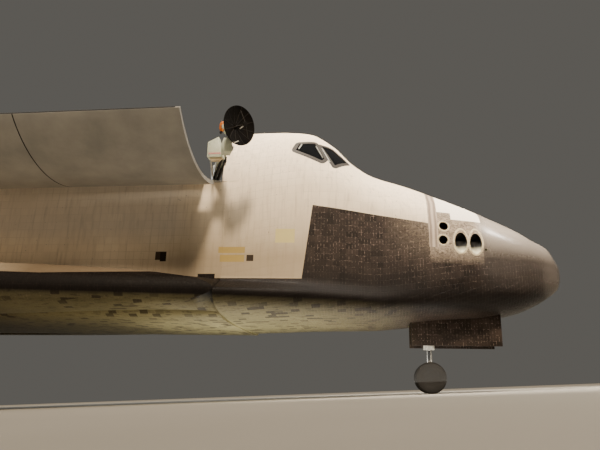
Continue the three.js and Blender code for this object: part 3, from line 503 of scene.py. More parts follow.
def wing_skin():
    """The wing: white blanket on top, black tile below and round the front of the glove, as laid."""
    material, tree, face = finish("tiled_wing", IOR=1.5, Specular_IOR_Level=0.12)
    skin, where = skin_inches(tree), airframe_inches(tree)
    black, black_rough, gaps = black_tiles(tree, skin, where)
    black = add_belly(tree, skin, where, black)
    white, lines = white_tiles(tree, skin, where)
    facing = apart(tree, add(tree, "TexCoord", out=1))[2]
    ahead, side, height = apart(tree, where)
    # painted shade: the wing's white drawn brown towards its front, most of all on the glove
    white = stained(tree, white, ahead, 100, 220, 0.9, "#5f4f3a", 0.2)
    level = add(tree, "Math", {0: ahead, 1: WING_EDGE["slope"], 2: height}, operation="MULTIPLY_ADD")
    up = add(tree, "Math", {0: facing, 1: WING_EDGE["facing"]}, operation="GREATER_THAN")
    high = add(tree, "Math", {0: level, 1: WING_EDGE["level"]}, operation="GREATER_THAN")
    inboard = add(tree, "Math", {0: side, 1: 0, 2: WING_EDGE["inboard"]}, operation="COMPARE")
    outboard = add(tree, "Math", {0: 1.0, 1: inboard}, operation="SUBTRACT")
    high = add(tree, "Math", {0: high, 1: outboard}, operation="MAXIMUM")
    is_white = add(tree, "Math", {0: up, 1: high}, operation="MULTIPLY")
    tree.links.new(add(tree, "Mix", {0: is_white, 6: black, 7: white}, **COLOUR),
                   face.inputs["Base Color"])
    rough = add(tree, "Mix", {0: is_white, 2: black_rough, 3: BLANKET_ROUGH})
    tree.links.new(rough, face.inputs["Roughness"])
    bumped(tree, face, add(tree, "Mix", {0: is_white, 2: gaps, 3: lines}), PRESSED)
    return material


MARKS = [  # blank labels and dark felt squares: station, half length, lower and upper edge, colour
    (520.9, 9.4, 349.7, 363.7, "#c9bb82"), (572.8, 13.1, 339.2, 345.4, "#a8925a"),
    (572, 12, 330.4, 337.4, "#a8925a"), (554.4, 3.4, 331.2, 337.4, "#3a3128"),
    (641.4, 3.1, 331.2, 341, "#241d16"), (647, 2.5, 332.6, 341, "#43372b")]
# the edge between white and black: along the side with two notches, at the slant and on the rising line
SIDE_EDGE = {"level": 314.3, "notches": ((654, 13), (596.5, 8.5)), "rise": 4.3}
SLANT = {"slope": 0.124, "place": -427.2}
UPPER_EDGE = {"slope": 0.1123, "level": 442.3, "front": 380.4}
WHITE_PATCH = {"front": 325.5, "aft": 372, "level": 390, "step": 382, "step_middle": 341, "step_half": 16}
STRIP = {"middle": 375.6, "half": 4.6, "low": 351}


def hull_skin():
    """The tiled hull: white above, black below and on the side of the nose, as laid and glazed."""
    material, tree, face = finish("tiled_hull", IOR=1.5)
    skin, where = skin_inches(tree), airframe_inches(tree)
    black, black_rough, gaps = black_tiles(tree, skin, where)
    white, lines = white_tiles(tree, skin, where)
    ahead, _, height = apart(tree, where)

    def over(slope, level):
        """1 where height plus slope times the way ahead is over the level."""
        line = add(tree, "Math", {0: ahead, 1: slope, 2: height}, operation="MULTIPLY_ADD")
        return add(tree, "Math", {0: line, 1: level}, operation="GREATER_THAN")

    def behind(station):
        return add(tree, "Math", {0: ahead, 1: REF_STATION - station}, operation="LESS_THAN")

    def both(a, b):
        return add(tree, "Math", {0: a, 1: b}, operation="MULTIPLY")

    def either(a, b):
        return add(tree, "Math", {0: a, 1: b}, operation="MAXIMUM")

    def span(station, half):
        return add(tree, "Math", {0: ahead, 1: REF_STATION - station, 2: half}, operation="COMPARE")

    notch = either(*(span(*place) for place in SIDE_EDGE["notches"]))
    edge = add(tree, "Math", {0: notch, 1: SIDE_EDGE["rise"], 2: SIDE_EDGE["level"]},
               operation="MULTIPLY_ADD")
    above = add(tree, "Math", {0: height, 1: edge}, operation="GREATER_THAN")
    slant = add(tree, "Math", {0: height, 1: SLANT["slope"]}, operation="MULTIPLY")
    slant = add(tree, "Math", {0: slant, 1: ahead}, operation="SUBTRACT")
    slant = add(tree, "Math", {0: slant, 1: SLANT["place"]}, operation="GREATER_THAN")
    upper = both(over(UPPER_EDGE["slope"], UPPER_EDGE["level"]), behind(UPPER_EDGE["front"]))
    step = both(over(0, WHITE_PATCH["step"]), span(WHITE_PATCH["step_middle"], WHITE_PATCH["step_half"]))
    patch = both(behind(WHITE_PATCH["front"]), either(over(0, WHITE_PATCH["level"]), step))
    patch = both(patch, add(tree, "Math", {0: ahead, 1: REF_STATION - WHITE_PATCH["aft"]},
                            operation="GREATER_THAN"))
    is_white = either(both(above, either(slant, upper)), patch)

    black = add_belly(tree, skin, where, black)

    # the nose and the module round the thrusters: scratched grey-brown
    blotches = add(tree, "TexNoise", {"Vector": where, "Scale": 0.018, "Detail": 5, "Roughness": 0.55})
    squeezed = add(tree, "Mapping", {"Vector": where, "Scale": (0.3, 0.3, 0.5)})
    scratch = add(tree, "TexNoise", {"Vector": squeezed, "Scale": 0.8, "Detail": 6, "Roughness": 0.7,
                                     "Distortion": 1.2})
    scratch = add(tree, "MapRange", {0: scratch, 1: 0.35, 2: 0.68})
    worn = add(tree, "Mix", {0: scratch, 6: "#5d5147", 7: "#c0b09a"}, **COLOUR)
    module = both(add(tree, "Math", {0: ahead, 1: REF_STATION - 353, 2: 27}, operation="COMPARE"),
                  add(tree, "MapRange", {0: height, 1: 334, 2: 350}))
    fade = add(tree, "MapRange", {0: ahead, **stations_ahead((425, 381)), 4: 0.4})
    fade = both(fade, add(tree, "MapRange", {0: height, 1: 335, 2: 375}))
    mottle = either(fade, both(module, 0.72))
    black = add(tree, "Mix", {0: mottle, 6: black, 7: worn}, **COLOUR)
    nose = add(tree, "MapRange", {0: ahead, **stations_ahead((334, 318)), 4: 0.88})
    sooty_and_painted_light = add(tree, "Mix", {0: blotches, 6: "#272422", 7: "#4a4440"}, **COLOUR)
    low = add(tree, "MapRange", {0: height, 1: 308, 2: 326})
    # painted light: the nose drawn paler towards its top, from height 342 up
    sooty_and_painted_light = stained(tree, sooty_and_painted_light, height, 342, 374, 0.72, "#bdb3a8")
    sooty_and_painted_light = stained(tree, sooty_and_painted_light, ahead, REF_STATION - 278, REF_STATION - 252, 0.2, "#8d8379")
    glazed = either(add(tree, "MapRange", {0: height, 1: 330, 2: 352, 3: 0.5}),
                    add(tree, "MapRange", {0: ahead, **stations_ahead((270, 262))}))
    nose = both(nose, both(low, glazed))
    black = add(tree, "Mix", {0: nose, 6: black, 7: sooty_and_painted_light}, **COLOUR)
    strip = both(span(STRIP["middle"], STRIP["half"]), over(0, STRIP["low"]))
    ribs = add(tree, "TexWave", {"Vector": where, "Scale": 0.06, "Distortion": 1.5, "Detail": 2},
               wave_type="BANDS", bands_direction="X")
    metal = add(tree, "Mix", {0: ribs, 6: "#7d7064", 7: "#b3a494"}, **COLOUR)
    # the side darker towards the bottom, and less so further aft
    fore = add(tree, "MapRange", {0: ahead, **stations_ahead((700, 620)), 3: 0.1})
    darker_low = both(add(tree, "MapRange", {0: height, 1: 400, 2: 335, 4: 0.85}), fore)
    white = add(tree, "Mix", {0: darker_low, 6: white, 7: "#94846c"}, **COLOUR)
    # painted shade of the open door: the middle body's blankets drawn greyer aft of station 600 and above
    # height 345
    painted_door_shade = both(add(tree, "MapRange", {0: height, 1: 345, 2: 368, 4: 0.36}),
                add(tree, "MapRange", {0: ahead, **stations_ahead((600, 640))}))
    white = add(tree, "Mix", {0: painted_door_shade, 6: white, 7: "#9ca2ad"}, **COLOUR)
    # the white patch on top of the nose drawn whiter still: partly its own paint, partly a painted highlight
    white = add(tree, "Mix", {0: both(patch, 0.6), 6: white, 7: "#fffaf0"}, **COLOUR)
    for station, half, low_edge, high_edge, ink in MARKS:
        below = add(tree, "Math", {0: height, 1: high_edge}, operation="LESS_THAN")
        zone = both(span(station, half), both(over(0, low_edge), below))
        white = add(tree, "Mix", {0: zone, 6: white, 7: ink}, **COLOUR)
    colour = add(tree, "Mix", {0: is_white, 6: black, 7: white}, **COLOUR)
    colour = add(tree, "Mix", {0: strip, 6: colour, 7: metal}, **COLOUR)
    rough = add(tree, "Mix", {0: is_white, 2: black_rough, 3: 0.8})
    rough = add(tree, "Mix", {0: nose, 2: rough, 3: 0.2})
    tree.links.new(add(tree, "MapRange", {0: nose, 3: 0.12, 4: 0.6}), face.inputs["Specular IOR Level"])
    press = add(tree, "Mix", {0: is_white, 2: gaps, 3: lines})
    press = add(tree, "Mix", {0: nose, 2: press, 3: 0.0})
    tree.links.new(colour, face.inputs["Base Color"])
    tree.links.new(rough, face.inputs["Roughness"])
    bumped(tree, face, press, PRESSED)
    return material


def plain(name, dark, light, rough, metal=0.0, scale=0.3, grain=0.0, **shader):
    """A finish that varies between two colours, with a little grain.

    Scale is in patches an inch: 0.3 gives 85 mm, as paint from a spray gun has. The real grain is finer than
    1 mm, and at 6 mm it is drawn coarser so that it shows.
    """
    material, tree, face = finish(name, Metallic=metal, **shader)
    where = airframe_inches(tree)
    cloud = add(tree, "TexNoise", {"Vector": where, "Scale": scale, "Detail": 5, "Roughness": 0.6})
    mix = add(tree, "MapRange", {0: cloud, 1: 0.3, 2: 0.7})
    tree.links.new(add(tree, "Mix", {0: mix, 6: dark, 7: light}, **COLOUR),
                   face.inputs["Base Color"])
    tree.links.new(add(tree, "MapRange", {0: cloud, 1: 0.3, 2: 0.7, 3: rough * 0.85, 4: min(1, rough * 1.2)}),
                   face.inputs["Roughness"])
    if grain:
        fine = add(tree, "TexNoise", {"Vector": where, "Scale": 4, "Detail": 3})
        bumped(tree, face, fine, grain, 0.4)
    return material


def bore_lining():
    """Fired ceramic in the thruster bores: cream where it shows below, and black above as painted shade."""
    material, tree, face = finish("ceramic_lining_painted_shade", Roughness=0.7)
    where = airframe_inches(tree)
    cloud = add(tree, "TexNoise", {"Vector": where, "Scale": 0.5, "Detail": 4})
    pale = add(tree, "Mix", {0: cloud, 6: "#8d8a70", 7: "#d3cfb4"}, **COLOUR)
    # painted shade: each bore drawn black from height 349 up, cream below
    painted_shade_above = add(tree, "MapRange", {0: apart(tree, where)[2], 1: 349, 2: 355})
    tree.links.new(add(tree, "Mix", {0: painted_shade_above, 6: pale, 7: "#0b0a09"}, **COLOUR),
                   face.inputs["Base Color"])
    return material


HULL_SKIN = hull_skin()
BLACK_SKIN = black_skin()
WHITE_SKIN = white_skin()
WING_SKIN = wing_skin()
BORE_LINING = bore_lining()
# carbon carbon, layered cloth fired to carbon: grey, faintly woven
GREY_CARBON = plain("carbon_carbon", "#4f4a45", "#7d766d", 0.5, scale=0.08, grain=0.001)
# ceramic under soot that hot gas left: black, dead matt
SOOT = plain("sooted_bore", "#0b0a09", "#1a1714", 0.75)
# sintered pale ceramic round the thruster mouths, ground to fit: scratched cream
PALE_RIM = plain("scratched_ceramic_rim", "#8f8068", "#cbbf9f", 0.6, scale=0.5)
# machined aluminium, clear anodised: dull silver
MACHINED = plain("anodised_aluminium", "#8c8f90", "#b9bcbd", 0.38, metal=1.0)
# forged steel, ground and chromed: bright
CHROMED = plain("chromed_steel", "#c2c4c6", "#dcdee0", 0.14, metal=1.0)
# nickel alloy, brazed tubes blued by heat: brown to grey
NOZZLE = plain("heated_nickel_alloy", "#5b4c3f", "#8f8374", 0.36, metal=1.0, scale=0.05)
# white epoxy paint on metal, sprayed: half gloss
WHITE_PAINT = plain("white_epoxy_paint", "#cfcfc8", "#e8e7e1", 0.42, scale=0.12)
# silver backed film on the radiators: bright, rolled on in strips
SILVER_FILM = plain("silvered_film", "#c3c8cb", "#e4e7e8", 0.16, metal=1.0, scale=0.02)
# green chromate primer on aluminium: matt yellow green
PRIMER = plain("chromate_primer", "#6d7a4a", "#8f9a63", 0.6)
# white glass cloth liner, woven: soft matt
LINER = plain("glass_cloth_liner", "#c9c8c0", "#e3e2db", 0.85, scale=0.04, grain=0.003)
# window frame alloy, forged and coated dark: dull brown black
DARK_FRAME = plain("coated_frame_alloy", "#1b1815", "#332e29", 0.7, scale=0.3)
# natural rubber, moulded and vulcanised: grey black, matt
RUBBER = plain("natural_rubber", "#161616", "#2a2928", 0.8, grain=0.001)
# knitted wire net with black paint, sewn in gores: black, hardly any sheen
BLACK_CLOTH = plain("black_net_gore", "#070605", "#14100c", 0.85, scale=0.4, Specular_IOR_Level=0.15)
# enamel on the antenna's boxes, sprayed: pale green white, half gloss
BOX_PAINT = plain("pale_green_enamel", "#c3ccb4", "#dfe4d2", 0.45, scale=0.25)
# steel fittings, cadmium plated and passivated green: half bright
STEEL_GREEN = plain("green_anodised_steel", "#5f6e58", "#8b967d", 0.5, metal=0.6)
# woven tape, dyed: soft faded pink
PINK_TAPE = plain("pink_flag_tape", "#c98b86", "#dba59d", 0.6)
# epoxy primer on a bent bracket, brushed on: matt beige
BEIGE = plain("beige_bracket_paint", "#b9a684", "#cfbd9b", 0.6)
# oxide enamel on the actuator, baked: half gloss red brown
RED_BROWN = plain("red_oxide_enamel", "#7c2f22", "#9c4432", 0.5)
# nylon cloth, woven and coated: orange with soft creases
ORANGE_CLOTH = plain("orange_coated_cloth", "#b85516", "#ea8b2c", 0.55, scale=0.6, grain=0.002)
# seam cord, twisted and waxed: dark brown, a little shine
GORE_SEAM = plain("waxed_seam_cord", "#1f1a16", "#373029", 0.7)
# enamel on small aluminium parts, sprayed: mid grey
FEED_GREY = plain("grey_feed_enamel", "#8b8b85", "#b1b0a8", 0.5)
# enamel on forged wheel halves, sprayed: light grey, half gloss
WHEEL_PAINT = plain("grey_wheel_enamel", "#9a9c9a", "#b9bab7", 0.45)
# felt door skin, coated and smoothed: matt, lightly stained; drawn grey, not white, as painted shade on the
# door's outer face, which looks down when open
DOOR_SKIN_IN_PAINTED_SHADE = plain("door_skin_painted_shade", "#8b8a85", "#a8a59e", 0.8, scale=0.03, grain=0.001)
# cabin lining, sprayed: matt blue grey
CABIN = plain("cabin_paint", "#5c6468", "#7d868a", 0.7)


def glass():
    """Fused silica panes, ground and polished, over a dark cabin."""
    material, tree, face = finish("tinted_silica_glass", Roughness=0.03, IOR=1.46, Transmission_Weight=0.85)
    cloud = add(tree, "TexNoise", {"Vector": airframe_inches(tree), "Scale": 0.05, "Detail": 2})
    tree.links.new(add(tree, "Mix", {0: cloud, 6: "#23262a", 7: "#3a3c3f"}, **COLOUR),
                   face.inputs["Base Color"])
    return material


GLASS = glass()

# Stage, light and camera: metres and degrees, the focal length in pixels of a frame 600 wide
CAMERA = {"place": (12.981, -16.291, 0.12), "yaw": -7.23, "pitch": 15.9, "roll": -1.2, "focal": 578.3}
SENSOR, FRAME_WIDTH, FAR = 36, 600, 500
FLOOR_REACH = 150
KEY_FROM, KEY_AT, KEY_DISTANCE = np.array([0.24, -1.0, 0.82]), np.array([8, 0, 4]), 40
AREA_LAMPS = [  # name, place, aim, watts, colour, length and width, spread in degrees
    ("overhead", (12, -6, 17), (14.5, 0, 5.5), 1400, "#fff2e0", (14, 1.2), 64),
    ("under", (11.4, -0.6, 0.3), (11.4, -0.6, 3), 175, "#fff8ea", (8, 3), 180),
    ("nose_row", (24, -2.6, 14.4), (15.8, -1.3, 5.3), 1800, "#fff6ea", (1.2, 5), 180),
    ("port_fill", (0, 22, 14), (0, 0, 6), 1700, "#f4f1ea", (20, 8), 180)]


def stand_camera():
    yaw, pitch, roll = (math.radians(CAMERA[key]) for key in ("yaw", "pitch", "roll"))
    cy, sy, cp, sp, cr, sr = (f(a) for a in (yaw, pitch, roll) for f in (math.cos, math.sin))
    depth = np.array([cp * sy, cp * cy, sp])
    level, rise = np.array([cy, -sy, 0]), np.array([-sp * sy, -sp * cy, cp])
    axes = [TURN @ v for v in (cr * level - sr * rise, sr * level + cr * rise, -depth)]
    pose = Matrix(np.column_stack(axes).tolist()).to_4x4()
    pose.translation = Vector(CAMERA["place"])
    lens = bpy.data.cameras.new("camera")
    lens.sensor_width, lens.lens, lens.clip_end = SENSOR, CAMERA["focal"] * SENSOR / FRAME_WIDTH, FAR
    camera = bpy.data.objects.new("camera", lens)
    camera.matrix_world = pose
    bpy.context.scene.collection.objects.link(camera)
    bpy.context.scene.camera = camera


def lamp(name, kind, place, aim, power, colour, **settings):
    light = bpy.data.lights.new(name, kind)
    light.energy, light.color = power, linear(colour)[:3]
    for key, value in settings.items():
        setattr(light, key, value)
    made = bpy.data.objects.new(name, light)
    made.location = place
    made.rotation_euler = (Vector(aim) - Vector(place)).to_track_quat("-Z", "Y").to_euler()
    bpy.context.scene.collection.objects.link(made)


def set_stage():
    corners = np.array([(-1, -1, 0), (1, -1, 0), (1, 1, 0), (-1, 1, 0)], float) * FLOOR_REACH
    # screed, poured and trowelled smooth: pale and matt
    screed = plain("pale_screed", "#a6a39b", "#aeaba3", 0.8, scale=0.004)
    solid("floor", (corners, [[0, 1, 2, 3]], None), screed)
    world = bpy.data.worlds.new("pale_room")
    world.use_nodes = True
    world.node_tree.nodes["Background"].inputs[0].default_value = linear("#d9d4ca")
    world.node_tree.nodes["Background"].inputs[1].default_value = 0.16
    bpy.context.scene.world = world
    # the key comes from ahead, starboard and above, as the shadow under the door tells
    lamp("key", "SUN", tuple(KEY_FROM * KEY_DISTANCE + KEY_AT), tuple(KEY_AT), 3.8, "#ffe9cc",
         angle=math.radians(9))
    for name, place, aim, power, colour, (size, size_y), spread in AREA_LAMPS:
        lamp(name, "AREA", place, aim, power, colour, shape="RECTANGLE", size=size, size_y=size_y,
             spread=math.radians(spread))


stand_camera()
set_stage()

# Forward hull: half sections (station, keel, chineSide, chine, wallSide, wall, shoulderSide, shoulder, crown)
HULL = np.array([
    [238.2, 335, 0.6, 336, 0.6, 336.2, 0.6, 336.4, 337],
    [239.5, 327.5, 8.5, 335, 8.5, 336, 8.4, 337, 344.5],
    [244, 318, 17, 333, 17, 336, 16.8, 338, 352.5],
    [252, 311.5, 26, 330, 26.2, 335, 25.8, 339, 365.3],
    [266, 302.8, 37, 326, 37.4, 333, 36.7, 340, 372.9],
    [285, 295, 47.5, 321, 48, 330, 47, 342, 384.1],
    [306, 290.6, 55.5, 317, 56, 327, 54.6, 345, 394.1],
    [334, 286.5, 64.5, 313, 65, 323, 63, 348, 407],
    [364, 285.2, 73.2, 308, 73.4, 318, 70.6, 353, 419.3],
    [400, 282, 83, 302, 81.6, 313, 77.5, 366, 432.7],
    [436, 279.6, 94, 298, 90, 308, 84.5, 384, 443.2],
    [455, 279.3, 99.5, 299, 94, 309, 89.5, 392, 456.1],
    [478, 279.1, 105, 300, 98.5, 310, 95, 397, 480.8],
    [505, 279, 112.5, 301, 102, 311, 99.5, 400, 497.8],
    [540, 278, 121.5, 301, 104, 311.5, 102, 400, 501.7],
    [582, 277, 132.2, 301, 105, 312, 103, 400, 503]])
LOWER_ROUND = 3
UPPER_ROUND = np.array([[238, 2], [306, 2.2], [436, 2.35], [505, 2.2], [582, 2]])


def flowing(x, y, at):
    """Values at the given places on a smooth line through the rows (x, y) that never overshoots."""
    step = np.diff(x)[:, None]
    slope = np.diff(y, axis=0) / step
    product = slope[1:] * slope[:-1]
    inner = np.where(product > 0, 2 * product / (slope[1:] + slope[:-1] + np.where(product > 0, 0, 1)), 0)
    slopes = np.vstack([slope[:1], inner, slope[-1:]])
    k = np.clip(np.searchsorted(x, at) - 1, 0, len(x) - 2)
    t = ((at - x[k]) / (x[k + 1] - x[k]))[:, None]
    span = (x[k + 1] - x[k])[:, None]
    return ((2 * t ** 3 - 3 * t ** 2 + 1) * y[k] + (t ** 3 - 2 * t ** 2 + t) * span * slopes[k]
            + (3 * t ** 2 - 2 * t ** 3) * y[k + 1] + (t ** 3 - t ** 2) * span * slopes[k + 1])


def quarter(side, level, crown, power, steps):
    """A rounded quarter from (side, level) up or down to (0, crown)."""
    t = np.linspace(0, math.pi / 2, steps)
    c, s = np.maximum(np.cos(t), 0) ** (2 / power), np.maximum(np.sin(t), 0) ** (2 / power)
    return np.stack([side * c, crown * s + level * (1 - s)], 1)


def eased(a, corner, b, reach, steps=5):
    """A corner rounded off between its neighbours."""
    first = corner + (a - corner) * min(1, reach / np.linalg.norm(a - corner))
    last = corner + (b - corner) * min(1, reach / np.linalg.norm(b - corner))
    t = np.linspace(0, 1, steps)[:, None]
    return first * (1 - t) ** 2 + 2 * corner * t * (1 - t) + last * t * t


def half_hull(row, grow=0.0):
    """The port half of a section, from the keel round the chine and the wall to the crown."""
    station, keel, chine_side, chine, wall_side, wall, shoulder_side, shoulder, crown = row
    power = np.interp(station, *UPPER_ROUND.T)
    lower = quarter(chine_side + grow, chine, keel - grow, LOWER_ROUND, 22)[::-1]
    upper = quarter(shoulder_side + grow, shoulder, crown + grow, power, 30)
    corner = np.array([wall_side + grow, wall])
    chine_point = np.array([chine_side + grow, chine])
    turn = eased(lower[-2], chine_point, corner, min(2.5, 0.3 * np.linalg.norm(corner - chine_point)))
    bend = eased(chine_point, corner, upper[0], min(5, 0.35 * np.linalg.norm(corner - chine_point)))
    rise = bend[-1] + (upper[0] - bend[-1]) * np.linspace(0.25, 0.75, 3)[:, None]
    return np.vstack([lower[:-1], turn, bend, rise, upper])


LOWER_POINTS = 21 + 3


def hull_rows(stations):
    """The rows of the hull's table at any stations, run smoothly over the root of the way from the nose."""
    x = np.sqrt(HULL[:, 0] - HULL[0, 0])
    rows = flowing(x, HULL, np.sqrt(np.maximum(stations - HULL[0, 0], 0)))
    rows[:, 0] = stations
    return rows


def whole_ring(half):
    """A half section with its mirror image."""
    port = np.asarray(half)
    starboard = port[1:-1][::-1] * np.array([-1, 1])
    return np.vstack([port, starboard])


def skin_loft(stations, halves, low_points=LOWER_POINTS, level=200.0):
    """A shell through half sections. Its uv is station and girth, counted anew from the chine."""
    girths = []
    for half in halves:
        steps = np.linalg.norm(np.diff(half, axis=0), axis=1)
        girths.append(np.concatenate([[0], np.cumsum(steps)]))
    girths = np.array(girths)
    count = girths.shape[1]
    chine = girths[:, low_points:low_points + 1]
    start, end = girths[:, :-1].copy(), girths[:, 1:].copy()
    start[:, low_points:] += level - chine
    end[:, low_points:] += level - chine
    v0 = np.hstack([start, end[:, ::-1]])
    v1 = np.hstack([end, start[:, ::-1]])
    rings = [np.column_stack([np.full(2 * count - 2, station), whole_ring(half)])
             for station, half in zip(stations, halves)]
    return loft(rings, stations, (v0, v1))


def hull_shape(grow=0.0, fine=0.15):
    x = np.arange(0, math.sqrt(BULKHEAD - HULL[0, 0]), fine)
    stations = np.append(HULL[0, 0] + x ** 2, BULKHEAD)
    return skin_loft(stations, [half_hull(row, grow) for row in hull_rows(stations)])


def made_hull(grow=0.0, fine=0.15, coat=None):
    return solid("hull", hull_shape(grow, fine), coat or HULL_SKIN)


SHELL = hull_shape()
SHELL_TREE = BVHTree.FromPolygons(SHELL[0].tolist(), SHELL[1])


def on_skin(points, direction):
    """Where lines from points of station, side and height meet the hull, and which way it faces there."""
    way = Vector(heading(direction))
    hits = [SHELL_TREE.ray_cast(Vector(p), way) for p in placed(points)]
    return np.array([hit[0] for hit in hits]), np.array([hit[1] for hit in hits])


def cutter(shape, coat=None, starboard=False):
    return solid("cutter", shape, coat or SOOT, starboard)


def made(rows, starboard=False):
    """One object for each row of name, shape and finish."""
    return [solid(*row, starboard) for row in rows]


def slab(front, aft, floor=200, reach=300, top=700):
    """All of the body between two stations, from the floor up."""
    return block(front, aft, -reach, reach, floor, top)


SIDE_WINDOWS = {"side": [(516.8, 452), (513.2, 463.5), (494.4, 466), (482, 442.2), (486.2, 437.4)],
                "corner": [(491, 463.4), (478.6, 462), (459.8, 443.2), (474, 432.4)]}
FRONT_WINDOW = [(5, 453), (52, 444), (50, 464), (5, 473)]
HATCH = {"station": 508, "height": 352, "radius": 20, "thick": 5.5, "gap": 0.3}
PANE = {"outer": 0.6, "inner": 2.2}
CABIN_WALL = 6
CABIN_ROOMS = ((446, 570, -200, 200, 408, 600), (446, 570, -96, 96, 304, 398))
NOSE_WELL = {"front": 305, "aft": 398, "half": 22, "top": 333}
THRUSTERS = [  # station, side, height, aim, radius of the mouth
    (365.1, 68.9, 373.8, (0, 1, 0.12), 5.2), (366.2, 71.2, 358.9, (0, 1, 0.05), 5.2),
    (348.4, 66.5, 357.8, (-0.12, 0.75, -0.85), 7.2), (333.3, 62, 357.5, (-0.12, 0.75, -0.85), 7.2)]
BORE = {"in": -11, "out": 14, "narrow": 0.72, "wide": 1.12}
TOP_THRUSTERS = [(306.7, -14.65, 393), (306.7, 0, 394.4), (306.7, 14.65, 393),
                 (350.9, -14.4, 413.5), (350.9, 0, 414.5), (350.9, 14.4, 413.5)]
MODULE = {"front": 293, "aft": 378, "floor": 343}
CAP_END = 266
GAP = 0.012  # between pieces that are apart in the solids


def thruster_bores():
    shapes = []
    for station, side, height, aim, radius in THRUSTERS:
        line = np.array(aim, float)
        a, b = (np.array([station, side, height]) + BORE[end] * line for end in ("in", "out"))
        bore = rod(a, b, radius * BORE["narrow"], radius * BORE["wide"], 48)
        shapes += [bore, mirrored(bore)]
    sensor = rod((323.5, 56, 350.9), (323.5, 70, 350.9), 1.3, sides=24)
    shapes += [sensor, mirrored(sensor)]
    shapes += [rod((s + 1, y, h - 8), (s - 2, y, h + 8), 3.6, 4.6, 32) for s, y, h in TOP_THRUSTERS]
    return shapes


def window_cuts():
    """A prism through the hull for each of the six windows."""
    cuts = {}
    for name, outline in SIDE_WINDOWS.items():
        cut = prism(outline, 40, 120)
        cuts[f"{name}_left"], cuts[f"{name}_right"] = cut, mirrored(cut)
    cut = prism(FRONT_WINDOW, 425, 505, "front")
    cuts["front_left"], cuts["front_right"] = cut, mirrored(cut)
    return cuts


def ring_of_the_bay():
    """The rim over the front of the bay, which the closed doors meet."""
    first, last = COLLAR["from"], COLLAR["to"]
    outline = curve(COLLAR["outer"], first, last, 79) + curve(COLLAR["inner"], last, first, 79)
    return cutter(prism(outline, COLLAR["front"], COLLAR["aft"], "front"), WHITE_SKIN)


def hatch_bore(radius):
    station, height = HATCH["station"], HATCH["height"]
    return cutter(rod((station, 60, height), (station, 130, height), radius, sides=64))


def make_forward_body():
    cap = carved(made_hull(), cutter(slab(0, CAP_END - GAP / 2), GREY_CARBON), "INTERSECT")
    fitted([cap], "nose_shell", "airframe", ["nose_cap"], lay=False)

    body = made_hull()
    carved(body, cutter(slab(0, CAP_END + GAP / 2)))
    inner = made_hull(-CABIN_WALL, 0.4, CABIN)
    for room in CABIN_ROOMS:
        space = carved(cutter(block(*room), CABIN), inner, "INTERSECT", keep=True)
        carved(body, space)
    bpy.data.objects.remove(inner)
    for cut in window_cuts().values():
        carved(body, cutter(cut))
    carved(body, cutter(slab(MODULE["front"] - GAP, MODULE["aft"] + GAP, MODULE["floor"] - GAP, 200, 600)))
    well = NOSE_WELL
    carved(body, cutter(slab(well["front"], well["aft"], reach=well["half"], top=well["top"]), PRIMER))
    carved(body, hatch_bore(HATCH["radius"] + HATCH["gap"]))
    carved(body, ring_of_the_bay(), "UNION")
    fitted([body], "forward_body", "airframe", ["forward_fuselage"], lay=False)

    room = slab(MODULE["front"], MODULE["aft"], MODULE["floor"], 200, 600)
    module = carved(made_hull(), cutter(room), "INTERSECT")
    for bore in thruster_bores():
        carved(module, cutter(bore, BORE_LINING))
    fitted([module], "thruster_module", "airframe", ["forward_thruster_module"], lay=False)

    for name, cut in window_cuts().items():
        pane = made_hull(-PANE["outer"], coat=GLASS)
        carved(pane, made_hull(-PANE["inner"], coat=GLASS))
        carved(pane, cutter(cut, GLASS), "INTERSECT")
        fitted([pane], f"pane_{name}", "airframe", [f"window_{name}"])

    hatch = carved(made_hull(), made_hull(-HATCH["thick"]))
    carved(hatch, hatch_bore(HATCH["radius"]), "INTERSECT")
    fitted([hatch], "round_hatch", "side_hatch", ["side_hatch"], lay=False)


# Middle body

def trough_outline():
    low = [(0, 276), (60, 276.2), (90, 277.6)]
    turn = eased(np.array([96, 279.0]), np.array([104, 284.5]), np.array([105, 294.0]), 9, 8)
    side = [(105, 312), (105, 330), (104.8, 350), (104.4, 370), (103.8, 385), (103, 400), (102, BAY["sill"]),
            (0, BAY["sill"])]
    return np.array(low + [tuple(p) for p in turn] + side, float)


